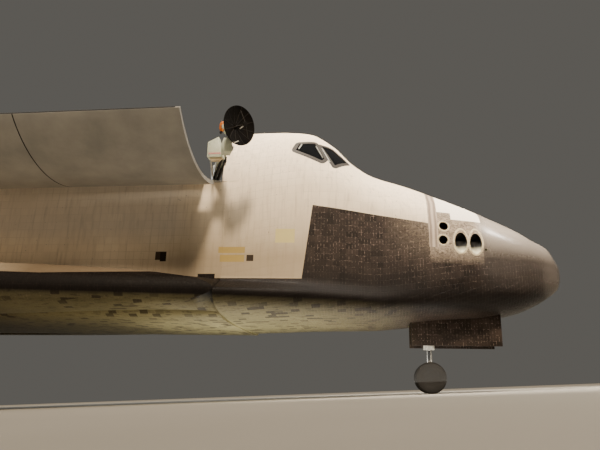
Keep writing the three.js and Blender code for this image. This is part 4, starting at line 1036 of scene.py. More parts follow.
def make_mid_body():
    half = trough_outline()
    stations = np.array([BULKHEAD + GAP, 700, 820, 940, 1060, 1180, BAY["aft"] - GAP])
    body = solid("mid", skin_loft(stations, [half] * len(stations), low_points=10), HULL_SKIN)
    outline = curve(BAY["radius"], 180, 360, 96) + [(92, 430), (-92, 430)]
    carved(body, cutter(prism(outline, 500, 1400, "front"), LINER))
    fitted([body], "mid_skin", "airframe", ["mid_fuselage"], lay=False)

    hoop = curve(BAY["radius"] + 0.6, 184, 356, 48) + curve(BAY["radius"] - 1.6, 356, 184, 48)
    frames = [("frame", prism(hoop, station - 1.4, station + 1.4, "front"), WHITE_PAINT)
              for station in np.linspace(596, 1296, 15)]
    for side in (-1, 1):
        sill = block(BULKHEAD + 1, BAY["aft"] - 1, side * 91.4, side * 98, 408, 413.9)
        tray = block(BULKHEAD + 4, BAY["aft"] - 4, side * 64, side * 74, 326.5, 330)
        frames += [("sill", sill, WHITE_PAINT), ("wire_tray", tray, MACHINED)]
    frames.append(("shelf", block(590, 610, -98, -80, 400, 413.9), MACHINED))
    fitted(made(frames), "bay_frames", "airframe", bevel=0.25)

    wall = prism(curve(COLLAR["inner"] - 0.5, 0, 180, 64) + curve(BAY["radius"] - 0.5, 180, 360, 64),
                 BULKHEAD - 0.6, BULKHEAD + 0.5, "front")
    front = [("bulkhead", wall, LINER)]
    front += [("post", block(BULKHEAD, BULKHEAD + 1.6, y - 1.2, y + 1.2, 335, 470), WHITE_PAINT)
              for y in (-60, -30, 30, 60)]
    lock = turned([(0, 0), (31, 0), (31, 2.5), (24, 3.4), (0, 3.6)], (BULKHEAD + 0.4, 0, 378),
                  (BULKHEAD + 8, 0, 378), 64)
    front.append(("airlock", lock, MACHINED))
    fitted(made(front), "bay_front_wall", "airframe", bevel=0.2)


# Aft body and the engines' heat shields
AFT = np.array([  # station, keel, corner, wall, shoulder, crown
    [1307, 276, 288, 105, 400, 503], [1400, 280, 292, 105, 410, 504], [1511, 287, 299, 106, 420, 508.0]])
ENGINES = {  # station, side and height of the gimbal, degrees up and out
    "upper": (1445, 0, 440, 14, 0), "left": (1468, 53, 342.6, 10, 3.5),
    "right": (1468, -53, 342.6, 10, -3.5)}
RECESS = {"from": -8, "to": 120, "first": 24, "last": 53}
SHIELD = {"from": 30, "to": 76, "first": 62, "last": 49, "aft": 1530, "low": 300, "top": 508}


def engine_spot(name, along):
    """A place on an engine's line, this far behind its gimbal."""
    station, side, height, up, out = ENGINES[name]
    c, s = math.cos(math.radians(up)), math.sin(math.radians(up))
    return (station + along * c * math.cos(math.radians(out)), side + along * math.sin(math.radians(out)),
            height + along * s)


def aft_shape(grow=0.0):
    stations = np.array([BAY["aft"] + GAP, 1350, 1400, 1455, BASE_END + grow])
    halves = []
    for station in stations:
        keel, corner, wall, shoulder, crown = (np.interp(station, AFT[:, 0], column) for column in AFT.T[1:])
        keel, wall, crown = keel - grow, wall + grow, crown + grow
        low, high = np.array([wall - 1.5, corner - 4]), np.array([wall, corner + 6])
        turn = eased(np.array([88, keel]), low, high, 9, 8)
        halves.append(np.vstack([[(0, keel), (88, keel)], turn, [(wall, 330), (wall, 370)],
                                 quarter(wall, shoulder, crown, 2.2, 30)]))
    return skin_loft(stations, halves, low_points=9)


def cone(name, shape, grow=0.0, sides=96):
    """A cone along an engine's line, for its shield or its recess."""
    return rod(engine_spot(name, shape["from"] - grow), engine_spot(name, shape["to"] + grow),
               shape["first"] + grow, shape["last"] + grow, sides)


def make_aft_body():
    body = solid("aft", aft_shape(), HULL_SKIN)
    base = cutter(slab(BASE_END - 4, SHIELD["aft"], SHIELD["low"], BODY_WALL, SHIELD["top"]), BLACK_SKIN)
    for name in ENGINES:
        shield = carved(cutter(cone(name, SHIELD), BLACK_SKIN), base, "INTERSECT", keep=True)
        carved(body, shield, "UNION")
    bpy.data.objects.remove(base)
    for name in ENGINES:
        carved(body, cutter(cone(name, RECESS)))
    fitted([body], "aft_skin", "airframe", ["aft_fuselage"], lay=False)


# Wings: sections across the span, from the cut root out to the tip
WING = {"tip": 468.34, "spar": 1387, "edge": 1525.24, "taper": 0.1773, "dihedral": 0.0634, "floor": 277}
GLOVE = {"side": 205, "station": 1041, "slope": 6.314, "bend": 230, "sweep_base": 836}
WING_ROWS = np.array([  # side, thick, spar thick, crest, nose height over the floor
    [105.02, 58, 25, 1180, 23], [132.2, 55, 24, 1180, 22], [170, 50, 22, 1190, 17], [205, 45, 20.5, 1200, 13],
    [230, 41, 19.5, 1210, 12.2], [312, 30, 15.5, 1245, 10.8], [468.34, 14, 8, 1330, 5]])
HULL_SIDE = 132.2
EDGE_STRIP = {"inner": 185, "depth": 20}
ELEVONS = {"inboard": (112, 312), "outboard": (318, 455)}
MAIN_WELL = {"front": 1030, "aft": 1192, "inner": 108, "outer": 164, "top": 318}


def wing_floor(side):
    return WING["floor"] + (side - BODY_WALL) * WING["dihedral"]


def leading_station(side):
    """Where the leading edge is at one side: glove, bend, then the swept outer wing."""
    bend = GLOVE["sweep_base"] + GLOVE["bend"]
    if side >= GLOVE["bend"]:
        return GLOVE["sweep_base"] + side
    if side >= GLOVE["side"]:
        return float(np.interp(side, [GLOVE["side"], GLOVE["bend"]], [GLOVE["station"], bend]))
    return max(BULKHEAD + GAP, GLOVE["station"] - (GLOVE["side"] - side) * GLOVE["slope"])


def wing_section(side, press=0.0, steps=26):
    """Station and height round the wing at one side: over the top from the nose, then back below."""
    thick, spar, crest, nose = (np.interp(side, WING_ROWS[:, 0], WING_ROWS[:, k]) for k in range(1, 5))
    floor, front = wing_floor(side), leading_station(side)
    rear, mid, tip = WING["spar"] - spar / 2 - 1, floor + spar / 2, floor + nose
    share = float(np.interp(side, [105, 133], [0.68, 0.62]))
    run = crest - front
    t = np.linspace(0, 1, steps) ** 1.3 * math.sqrt((rear - front) / run)
    top, low = tip, tip
    if side < HULL_SIDE:  # against the hull's aft end
        top = 312 - (side - BODY_WALL) * 0.38
        low = 301 - 24 * (1 - min(1, side / HULL_SIDE) ** LOWER_ROUND) ** (1 / LOWER_ROUND)
    up = np.array([[0, top], [0.245, floor + thick * share], [0.632, floor + thick * 0.86],
                   [1, floor + thick], [t[-1], mid + spar / 2]])
    down = np.array([[0, low], [0.316, floor + (tip - floor) * 0.3], [0.775, floor],
                     [t[-1], mid - spar / 2]])
    upper = flowing(up[:, 0], up[:, 1:], t)[:, 0]
    lower = flowing(down[:, 0], down[:, 1:], t)[:, 0]
    x = front + t ** 2 * run + press
    return np.vstack([np.column_stack([x, upper - press]), np.column_stack([x, lower + press])[:0:-1]])


def wing_shape(grooves=()):
    inboard, outboard = np.linspace(HULL_SIDE, GLOVE["side"], 8), np.linspace(GLOVE["bend"], WING["tip"], 12)
    sides = set(np.concatenate([WING_ROWS[:, 0], inboard, outboard]).tolist())
    presses = {}
    for groove in grooves:
        for shift, press in ((-0.35, 0), (-0.12, 0.35), (0.12, 0.35), (0.35, 0)):
            presses[groove + shift] = press
    rings = [[(s, side, h) for s, h in wing_section(side, presses.get(side, 0))]
             for side in sorted(sides | set(presses))]
    return loft(rings)


def edge_strip(gap):
    inner, depth = EDGE_STRIP["inner"] + gap, EDGE_STRIP["depth"]
    front, tip = leading_station(EDGE_STRIP["inner"]), leading_station(WING["tip"])
    outline = [(front - 60, inner), (front + depth * 4 - gap, inner),
               (GLOVE["station"] + 26 - gap, GLOVE["side"] + 8), (tip + depth - gap, WING["tip"] + 4),
               (1200, WING["tip"] + 4), (900, 240)]
    return prism(outline, 200, 500, "plan")


def rounded_nose(station, height, radius, points):
    """The front half of a circle at a hinge, from the top to the bottom."""
    return [(station + a, height + b) for a, b in (polar(radius, x) for x in np.linspace(90, 270, points))]


def make_wings():
    for name, starboard in HANDS:
        wing = solid("wing", wing_shape(), WING_SKIN, starboard)
        carved(wing, cutter(edge_strip(-GAP), WING_SKIN, starboard))
        well = block(MAIN_WELL["front"], MAIN_WELL["aft"], MAIN_WELL["inner"], MAIN_WELL["outer"], 150,
                     MAIN_WELL["top"])
        carved(wing, cutter(well, PRIMER, starboard))
        fitted([wing], f"wing_skin_{name}", "airframe", [f"wing_{name}"], angle=40)
        edge = solid("edge", wing_shape(np.linspace(200, 455, 22)), GREY_CARBON, starboard)
        carved(edge, cutter(edge_strip(GAP), GREY_CARBON, starboard), "INTERSECT")
        fitted([edge], f"edge_panels_{name}", "airframe", [f"wing_leading_edge_{name}"], angle=40)
        for part, (first, last) in ELEVONS.items():
            rings = []
            for side in np.linspace(first, last, 9):
                half = np.interp(side, WING_ROWS[:, 0], WING_ROWS[:, 2]) / 2
                mid, rear = wing_floor(side) + half, WING["edge"] - WING["taper"] * side
                nose = rounded_nose(WING["spar"], mid, half, 25)
                low = mid - half * 0.35
                rings.append([(s, side, h) for s, h in nose + [(rear, low - 0.4), (rear, low + 0.4)]])
            elevon = solid("elevon", loft(rings), WHITE_SKIN, starboard)
            two_tone(elevon, WHITE_SKIN, BLACK_SKIN)
            node = f"elevon_{part}_{name}"
            fitted([elevon], f"tiled_{node}", node, [node], bevel=0.3)


FLAP = {"hinge": 1531, "edge": 1613, "half": 126, "radius": 7, "height": 291, "edge_height": 286}


def make_body_flap():
    outline = rounded_nose(FLAP["hinge"], FLAP["height"], FLAP["radius"], 33)
    outline += [(FLAP["edge"], FLAP["edge_height"] - 1), (FLAP["edge"], FLAP["edge_height"] + 1)]
    flap = solid("flap", prism(outline, -FLAP["half"], FLAP["half"]), BLACK_SKIN)
    fitted([flap], "tiled_body_flap", "body_flap", ["body_flap"], bevel=0.6)


# Fin and its split rudder
FIN = {"root": 490, "tip": 815.72, "front_root": 1270.1, "front_tip": 1593.6, "rear_root": 1541.5,
       "rear_tip": 1702.07, "half_thick": 0.045}
FIN_THICK = np.array([[0, 0], [0.141, 0.22], [0.424, 0.7], [0.775, 1], [1, 0.08]])  # along the chord
RUDDER = {"low": 612, "high": 790, "station": 1515.7, "slope": 0.6958, "nose": 10.5, "hub": 4}
UNDERCUT = [(1514, 500), (1514, 509.5), (1580, 566), (1720, 566), (1720, 500)]
CHUTE_CASE = [  # station, low and high, half width below and above
    [1536.1, 531, 596, 12, 7], [1560, 551.5, 578, 12, 7], [1568, 558.5, 572, 7, 5]]
CHUTE_BAY = [(1536 - GAP, 400), (1536 - GAP, 600), (1800, 415), (1800, 400)]


def hinge_at(height):
    return RUDDER["station"] + (height - RUDDER["low"]) * RUDDER["slope"]


def hinge_rod(over, radius):
    """A rod on the rudder's hinge line, this far over its ends."""
    heights = RUDDER["low"] - over, RUDDER["high"] + over
    return rod(*((hinge_at(height), 0, height) for height in heights), radius, sides=48)


def rudder_outline(nose_gap, end_gap):
    length = math.hypot(RUDDER["slope"], 1)
    along = np.array([RUDDER["slope"], 1]) / length
    back = np.array([along[1], -along[0]])
    low, high = (np.array([hinge_at(RUDDER[key]), RUDDER[key]]) for key in ("low", "high"))
    return [tuple(p) for p in (low - back * nose_gap + along * end_gap, low + back * 200 + along * end_gap,
                               high + back * 200 - along * end_gap, high - back * nose_gap - along * end_gap)]


def fin_shape():
    t = np.linspace(0, 1, 30)
    share = flowing(FIN_THICK[:, 0], FIN_THICK[:, 1:], t)[:, 0]
    rings = []
    for height in np.linspace(FIN["root"], FIN["tip"], 5):
        k = (height - FIN["root"]) / (FIN["tip"] - FIN["root"])
        front = FIN["front_root"] + k * (FIN["front_tip"] - FIN["front_root"])
        chord = FIN["rear_root"] + k * (FIN["rear_tip"] - FIN["rear_root"]) - front
        port = [(front + c * c * chord, w * chord * FIN["half_thick"], height) for c, w in zip(t, share)]
        rings.append(port + [(s, -y, h) for s, y, h in port[:0:-1]])
    return loft(rings)


def make_fin():
    fin = solid("fin", fin_shape(), WHITE_SKIN)
    carved(fin, cutter(prism(rudder_outline(RUDDER["nose"], 0), -100, 100)))
    seat = prism(curve(DOOR["outer"] + 3, 0, 360, 96)[:-1], 1200, 1307, "front")
    behind = slab(BASE_END - 5, 1700, 300, 100, SHIELD["top"] + GAP)
    for cut in (seat, aft_shape(2 * GAP), behind, prism(UNDERCUT, -100, 100), prism(CHUTE_BAY, -100, 100)):
        carved(fin, cutter(cut, WHITE_SKIN))
    fitted([fin], "fin_skin", "airframe", ["vertical_fin"], angle=40, bevel=0.15)

    spindle = solid("spindle", hinge_rod(-1.4, RUDDER["hub"]), CHROMED)
    fitted([spindle], "spindle", "rudder", ["rudder_spindle"], bevel=0.3)
    for name, starboard in HANDS:
        blade = solid("blade", fin_shape(), WHITE_SKIN)
        carved(blade, cutter(prism(rudder_outline(0, 1), -100, 100), WHITE_SKIN), "INTERSECT")
        half = block(1200, 1800, 0.15, 100, 400, 900)
        carved(blade, cutter(half, PRIMER, starboard), "INTERSECT")
        carved(blade, cutter(hinge_rod(4, RUDDER["hub"] + 0.5), PRIMER))
        node = f"speedbrake_{name}"
        fitted([blade], f"brake_panel_{name}", node, [node], angle=40, bevel=0.1)

    rings = []
    for station, low, high, wide, top in CHUTE_CASE:
        corners = np.array([(wide * 0.6, low), (wide, low + 4), (wide, low + 12), (top, high)], float)
        ring = [(0, low)]
        for a, b, c in zip(np.vstack([[(0, low)], corners]), corners, np.vstack([corners[1:], [(0, high)]])):
            ring += [tuple(p) for p in eased(a, b, c, 3, 5)]
        ring.append((0, high))
        rings.append([(station, y, h) for y, h in ring + [(-y, h) for y, h in ring[-2:0:-1]]])
    case = solid("chute", loft(rings), WHITE_SKIN)
    fitted([case], "chute_case", "airframe", ["drag_chute_housing"], angle=40)


# Manoeuvring pods beside the fin
POD = np.array([  # station, side, height, half width, half height
    [1312, 66, 470, 4, 5], [1330, 70, 474, 18, 18], [1365, 75, 480, 32, 33], [1420, 79, 487, 41, 46],
    [1480, 81, 492, 45, 53], [1535, 82, 494, 45, 53], [1562, 82, 495, 42, 49]])
POD_SQUARE = 0.8
POD_BELL_LINE = ((1532, 82, 498), (1600, 84, 504))
POD_PORTS = [((station, 108, height), (station, 134, height))
             for station, height in ((1516, 470), (1530, 470), (1544, 470), (1516, 486))]
POD_PORTS += [((station, 86, 532), (station, 86, 556)) for station in (1516, 1530, 1544)]
POD_PORT_RADII = (3.6, 5.4)


def make_pods():
    stations = POD[0, 0] + (POD[-1, 0] - POD[0, 0]) * np.linspace(0, 1, 34) ** 1.5
    turn = np.linspace(0, 2 * math.pi, 56, endpoint=False)
    across, up = (np.sign(f(turn)) * np.abs(f(turn)) ** POD_SQUARE for f in (np.cos, np.sin))
    rings = []
    for station, (side, height, wide, tall) in zip(stations, flowing(POD[:, 0], POD[:, 1:], stations)):
        rings.append(np.column_stack([np.full(len(turn), station), side + wide * across, height + tall * up]))
    for name, starboard in HANDS:
        pod = solid("pod", loft(rings), WHITE_SKIN, starboard)
        carved(pod, cutter(block(1200, 1700, -100, 24, 300, 700), starboard=starboard))
        carved(pod, cutter(rod(*POD_BELL_LINE, 17, sides=64), SOOT, starboard))
        carved(pod, cutter(block(BASE_END + GAP, 1600, -118, 118, 200, 447), WHITE_SKIN, starboard))
        carved(pod, solid("seat", aft_shape(2 * GAP), WHITE_SKIN))
        for engine in ENGINES:
            carved(pod, cutter(cone(engine, SHIELD, 0.1, 64), WHITE_SKIN))
        for ends in POD_PORTS:
            carved(pod, cutter(rod(*ends, *POD_PORT_RADII, 32), starboard=starboard))
        fitted([pod], f"pod_skin_{name}", "airframe", [f"pod_{name}"], angle=40)


# Engine bells
BELL = {"length": 168, "throat": 52, "exit": 45.35, "wall": 1.6, "neck": 12}
POD_BELL = {"length": 62, "throat": 12, "exit": 21.5, "wall": 1.2, "neck": 7}


HOOP = ((0, -1.8), (1.1, -1.5), (1.5, -0.8), (1.5, 0.8), (1.1, 1.5), (0, 1.8))
POWERHEAD = [(0, 6), (13, 6), (14, 7), (18, 12), (18, 22), (16.5, 23), (16.5, 27), (18, 28), (18, 30),
             (11, 38)]


def bell(shape, hoops=()):
    """The bell's outer wall with its hoops, then its inner wall, from the neck to the lip and back."""
    def at(t, out=0.0, shift=0.0):
        return (shape["neck"] + (shape["exit"] - shape["neck"]) * t ** 0.62 + out,
                shape["throat"] + (shape["length"] - shape["throat"]) * t + shift)

    outside = {t: [at(t)] for t in np.linspace(0, 1, 26) ** 1.3}
    for t in hoops:
        outside = {k: rows for k, rows in outside.items() if abs(k - t) > 0.02}
        outside[t] = [at(t, out, shift) for out, shift in HOOP]
    rows = [row for t in sorted(outside) for row in outside[t]]
    return rows + [at(t, -shape["wall"]) for t in np.linspace(1, 0, 24) ** 1.3]


def make_engines():
    for name in ENGINES:
        profile = POWERHEAD + bell(BELL, (0.42, 0.55, 0.68, 0.81, 0.94)) + [(0, BELL["throat"] + 2)]
        shape = turned(profile, engine_spot(name, 0), engine_spot(name, BELL["length"]), 112)
        main, node = solid("bell", shape, NOZZLE), f"main_engine_{name}"
        fitted([main], f"bell_{name}", node, [node], lay=False)
    for name, starboard in HANDS:
        profile = [(0, 0), (8, 0), (8, 10)] + bell(POD_BELL, (0.94,)) + [(0, POD_BELL["throat"] + 2)]
        small = solid("bell", turned(profile, *POD_BELL_LINE, 80), NOZZLE, starboard)
        fitted([small], f"pod_bell_{name}", "airframe", [f"pod_engine_{name}"], lay=False)


# Payload bay doors and radiators, drawn closed and swung open about the hinge line
DOOR_JOINTS = (731, 874, 1018, 1161)


def swung(outline):
    """An outline of side and height, turned about the door's hinge from closed to open."""
    angle = -math.radians(DOOR["open"])
    c, s = math.cos(angle), math.sin(angle)
    y0, h0 = DOOR_HINGE
    return [(y0 + (y - y0) * c - (h - h0) * s, h0 + (y - y0) * s + (h - h0) * c) for y, h in outline]


def arc(inner, outer, low, top, front, aft, steps=48):
    """A strip round the bay between two angles and two stations, swung open with the door."""
    outline = swung(curve(outer, low, top, steps) + curve(inner, top, low, steps))
    return prism(outline, front, aft, "front")


def make_doors():
    d = DOOR
    inner, outer, low, top, front, aft = (d[key] for key in ("inner", "outer", "low", "top", "front", "aft"))
    for name, starboard in HANDS:
        door = solid("door", arc(inner, outer, low, top, front, aft, 72), DOOR_SKIN_IN_PAINTED_SHADE, starboard)
        if starboard:
            notch = swung([(60, 400), (140, 400), (140, ARM_NOTCH["top"]), (60, ARM_NOTCH["top"])])
            carved(door, cutter(prism(notch, 500, ARM_NOTCH["aft"], "front"), DOOR_SKIN_IN_PAINTED_SHADE, starboard))
        for station in DOOR_JOINTS:
            groove = arc(outer - 0.5, outer + 2, low - 2, top + 2, station - 0.5, station + 0.5, 60)
            carved(door, cutter(groove, SOOT, starboard))
        ribs = np.linspace(front + 1.2, aft - 1.2, 21)[3 if starboard else 0:]
        rows = []
        for station in ribs:
            rib = arc(98.3, inner + 0.1, low + 1, top - 0.6, station - 0.9, station + 0.9, 40)
            rows.append(("rib", rib, WHITE_PAINT))
        first = ARM_NOTCH["aft"] + 1 if starboard else front
        rows += [("rail", arc(98.1, inner + 0.1, angle, angle + 0.9, first, aft, 4), WHITE_PAINT)
                 for angle in (low + 0.6, top - 1.3)]
        hinge = rod((front, *DOOR_HINGE), (aft, *DOOR_HINGE), 1.1, sides=24)
        seal = arc(inner + 0.6, outer - 0.6, top - 0.02, top + 0.09, front + 4, aft - 4, 2)
        rows += [("hinge", hinge, DOOR_SKIN_IN_PAINTED_SHADE), ("seal", seal, RUBBER)]
        node = f"bay_door_{name}"
        fitted([door] + made(rows, starboard), f"door_{name}", node, [node])
        make_radiators(name, starboard)


def make_radiators(name, starboard):
    r = RADIATOR
    inner, outer, low, top = (r[key] for key in ("inner", "outer", "low", "top"))
    for part, front, aft, body in (("forward", r["front"], r["split"], f"radiator_{name}"),
                                   ("aft", r["split"] + 4, r["aft"], f"bay_door_{name}")):
        rows = []
        middle = (front + aft) / 2
        for first, last in ((front, middle - 0.4), (middle + 0.4, aft)):
            panel = arc(inner + 0.5, outer - 0.5, low + 0.4, top - 0.4, first + 0.5, last - 0.5)
            rows.append(("panel", panel, SILVER_FILM))
            rows += [("rail", arc(inner, outer, low, top, end, end + 2.2), WHITE_PAINT)
                     for end in (first, last - 2.2)]
        rows += [("rail", arc(inner, outer, angle, angle + 1.2, front, aft, 3), WHITE_PAINT)
                 for angle in (low, top - 1.2, (low + top) / 2 - 0.6)]
        if part == "aft":
            for angle in (40, 70):
                for station in (front + 12, aft - 20):
                    mount = arc(outer - 0.5, DOOR["inner"] - 0.2, angle, angle + 2, station, station + 8, 2)
                    rows.append(("mount", mount, MACHINED))
        fitted(made(rows, starboard), f"cooling_panel_{part}_{name}", body, [f"radiator_{part}_{name}"],
               bevel=0.12)


# Dish antenna swung out over the starboard sill
ANTENNA = {"station": 600, "side": 88, "swing": 113, "floor": 414.4, "reach": 88, "height": 441,
           "arm_low": 424, "arm_top": 431}
DISH = {"radius": 18, "aim": 145, "tilt": -7, "hub": 6.6, "trunnion": 2}
FEED = [(0, 3.1), (2.7, 3.1), (2.4, 4.4), (1, 5), (0.7, 14.4), (1.8, 15), (2.4, 15.4), (2.4, 16.4), (0, 16.4)]
BOX = {"outer": 158, "inner": 150, "outline": [(587.4, 418.3), (572.5, 418.3), (577.5, 438), (587.4, 433)]}


def antenna_spot(along, aside, height):
    """A place by the boom: along it from the post, and aside from its middle."""
    a = math.radians(ANTENNA["swing"])
    station = ANTENNA["station"] + along * math.cos(a) + aside * math.sin(a)
    return station, -(ANTENNA["side"] + along * math.sin(a) - aside * math.cos(a)), height


def arm_block(a0, a1, k0, k1, h0, h1):
    corners = [antenna_spot(a, k, 0)[:2] for a, k in ((a0, k0), (a1, k0), (a1, k1), (a0, k1))]
    return prism(corners, h0, h1, "plan")


def dish_spot(ahead, across, up=0.0):
    """A place by the dish's pivot: ahead along its aim, across and up."""
    aim, tilt = math.radians(DISH["aim"]), math.radians(DISH["tilt"])
    pivot = np.array(antenna_spot(ANTENNA["reach"], 0, ANTENNA["height"]))
    forward = np.array([math.cos(aim) * math.cos(tilt), -math.sin(aim) * math.cos(tilt), math.sin(tilt)])
    sideways = np.array([math.sin(aim), math.cos(aim), 0])
    rise = np.cross(forward, sideways)
    rise = rise if rise[2] > 0 else -rise
    return tuple(pivot + ahead * forward + across * sideways + up * rise)


def upright(spot, low, high, radius, far=None, sides=40):
    return rod((spot[0], spot[1], low), (spot[0], spot[1], high), radius, far, sides)


def dish_block(a0, a1, c0, c1, u0, u1):
    return loft([[dish_spot(a, c, u) for c, u in ((c0, u0), (c1, u0), (c1, u1), (c0, u1))] for a in (a0, a1)])


def boom_rows(reach, low, top):
    """The boom's arm, its links and fittings, and the electronics box under it."""
    base, pivot = antenna_spot(0, 0, 0), antenna_spot(reach, 0, 0)
    cables = [[antenna_spot(*spot) for spot in way] for way in (
        ((4, -3.2, 428), (30, -3.2, 426.6), (52, -3.2, 428.6), (reach - 12, -3.2, 427),
         (reach - 6, -3.2, 427.5)),
        ((8, 2.9, 426), (40, 3.2, 425.6), (reach - 16, 3, 426.4)))]
    rows = [("post", upright(base, ANTENNA["floor"], 436, 3.8), MACHINED),
            ("collar", upright(base, ANTENNA["floor"], 417, 4.6), MACHINED),
            ("cap", upright(base, 435.8, 437, 3, 2.2), STEEL_GREEN),
            ("arm", arm_block(-2, reach - 3, -2.6, 2.5, low, top), BOX_PAINT),
            ("foot", arm_block(reach - 8, reach + 3, -3.6, 3.6, low, 430), BOX_PAINT),
            ("stem", upright(pivot, 429, 436, 2.4), MACHINED)]
    rows += [("band", arm_block(along, along + 2.4, -2.9, 2.8, low - 0.3, top + 0.3), MACHINED)
             for along in (14, 30, 46)]
    rows += [("cable", pipe(cables[0], 0.7), RUBBER), ("cable", pipe(cables[1], 0.5), MACHINED)]

    motor = rod(antenna_spot(reach - 5, -3.6, 424), antenna_spot(reach - 5, -6, 424), 2.4, sides=32)
    lower = [antenna_spot(along, -3, h) for along, h in ((3, 416.4), (30, 416.8), (58, 423))]
    post = antenna_spot(2, 0, 417)
    rows += [("housing", arm_block(reach - 8, reach + 2.6, -3.8, 4.1, 417.6, 430), BOX_PAINT),
             ("lid", arm_block(reach - 7, reach + 1.6, -4.2, 4.5, 419, 428.6), BOX_PAINT),
             ("motor", motor, MACHINED),
             ("actuator", arm_block(reach - 12.4, reach - 8.6, -5, -2.4, 424.6, 433), RED_BROWN),
             ("lower_link", pipe(lower, 0.9), RUBBER),
             ("link", rod(post, (586, -152.4, 419.4), 0.8), MACHINED),
             ("link", rod(post, (574, -152.4, 419.4), 0.9), RUBBER),
             ("link", rod(antenna_spot(2, 0, 422), antenna_spot(50, 0, 424.5), 1.1), RUBBER)]
    corners = ((1, 416), (16, 416), (44, 424), (1, 424))
    for side, coat in ((-3.2, RUBBER), (3.0, MACHINED)):
        gusset = loft([[antenna_spot(along, k, h) for along, h in corners] for k in (side, side + 0.25)])
        rows.append(("gusset", gusset, coat))
    rows += [("fitting", arm_block(along, along + 4.6, aside, -2.4, 424 - tall * 0.4, 424 + tall), coat)
             for along, aside, tall, coat in (
                 (20, -5.2, 3.4, MACHINED), (27, -5.4, 4.2, RUBBER), (34, -5, 3, STEEL_GREEN),
                 (41, -5.4, 4, MACHINED), (48, -5, 3.6, RUBBER))]

    outline, face = BOX["outline"], -BOX["outer"]
    middle = np.mean(outline, axis=0)
    rows.append(("box", prism(outline, face, -BOX["inner"]), BOX_PAINT))
    for share, thick in ((0.93, 0.25), (0.8, 0.45)):
        smaller = [tuple(middle + (np.array(p) - middle) * share) for p in outline]
        rows.append(("face", prism(smaller, face - thick, face + 0.1), BOX_PAINT))
    stripe = [(586, 420.4), (574.2, 420.4), (574.7, 422.2), (586, 422.2)]
    bracket = [(584, 415.4), (577, 415.4), (573.5, 418.4), (586, 418.4)]
    rows += [("stripe", prism(stripe, face - 0.52, face - 0.3), PINK_TAPE),
             ("bracket", prism(bracket, -156, -152), BEIGE)]
    rows += [("bolt", rod((station, face - 0.75, height), (station, face, height), 0.5, sides=12), MACHINED)
             for station, height in ((585.6, 420), (575, 420), (578.5, 435.6), (585.8, 431.4))]
    return rows


def round_spot(ahead, radius, degrees):
    """A place on a circle about the dish's own line."""
    return dish_spot(ahead, *polar(radius, degrees))


def dish_rows(hub, radius):
    """The dish with its gores, feed and struts, and the links and covers behind it."""
    def bowl_depth(r):
        return hub + 3.2 + 5.6 * (r / radius) ** 2

    line = dish_spot(0, 0), dish_spot(10, 0)
    inside = [(r, bowl_depth(r)) for r in np.linspace(radius - 0.4, 1.5, 16)]
    profile = [(0, hub), (6.4, hub), (6.4, hub + 1.6), (10, hub + 3.0), (14, hub + 4.9),
               (radius - 0.3, hub + 7.6), (radius, hub + 7.8), (radius, hub + 8.8), (radius - 0.4, hub + 8.8)]
    profile += inside + [(0, hub + 3.2)]
    rows = [("bowl", turned(profile, *line, 96), BLACK_CLOTH)]
    for step in range(12):
        points = [round_spot(bowl_depth(r) + 0.12, r, 30 * step) for r in np.linspace(3, radius - 0.6, 7)]
        rows.append(("gore", pipe(points, 0.16, 6, 3), GORE_SEAM))
    feed = [(r, hub + along) for r, along in FEED]
    rows.append(("feed", turned(feed, *line, 48), BLACK_CLOTH))
    for angle in (90, 210, 330):
        ends = [round_spot(hub + 7.4, 14.6, angle), round_spot(hub + 15.6, 2.2, angle)]
        rows.append(("strut", pipe(ends, 0.22, 8), GORE_SEAM))
    probe = [dish_spot(hub + 4.6, -4, -1), dish_spot(hub + 6.4, -6.4, 2.2)]
    tag = [dish_spot(hub + 8.9, 3.4, -17.4), dish_spot(hub + 9.4, -0.4, -14.6)]
    rows += [("probe", pipe(probe, 0.5, 8), FEED_GREY), ("tag", pipe(tag, 0.45, 8), WHITE_PAINT)]
    for side in (-1, 1):
        ear = rod(dish_spot(0, side * 4.9), dish_spot(0, side * 6.1), 2.4, sides=32)
        link = rod(dish_spot(1, side * 5.5), dish_spot(hub + 0.5, side * 5.5), 0.6, sides=16)
        rows += [("ear", ear, BOX_PAINT), ("link", link, MACHINED)]
    for side in (-1, 1):
        yoke = rod(dish_spot(0, side * 5.5), dish_spot(-8.6, side * 1.8, 3.4), 0.55, sides=12)
        rows.append(("yoke", yoke, MACHINED))
    knob = turned([(0, -1.4), (1, -1), (1.4, 0), (1, 1), (0, 1.4)], dish_spot(-10.2, 0, -2.4),
                  dish_spot(-10.2, 1, -2.4), 20)
    return rows + [("knob", knob, RUBBER),
                   ("back_plate", dish_block(hub - 0.6, hub + 1, -5, 5, -6, 6), BOX_PAINT)]


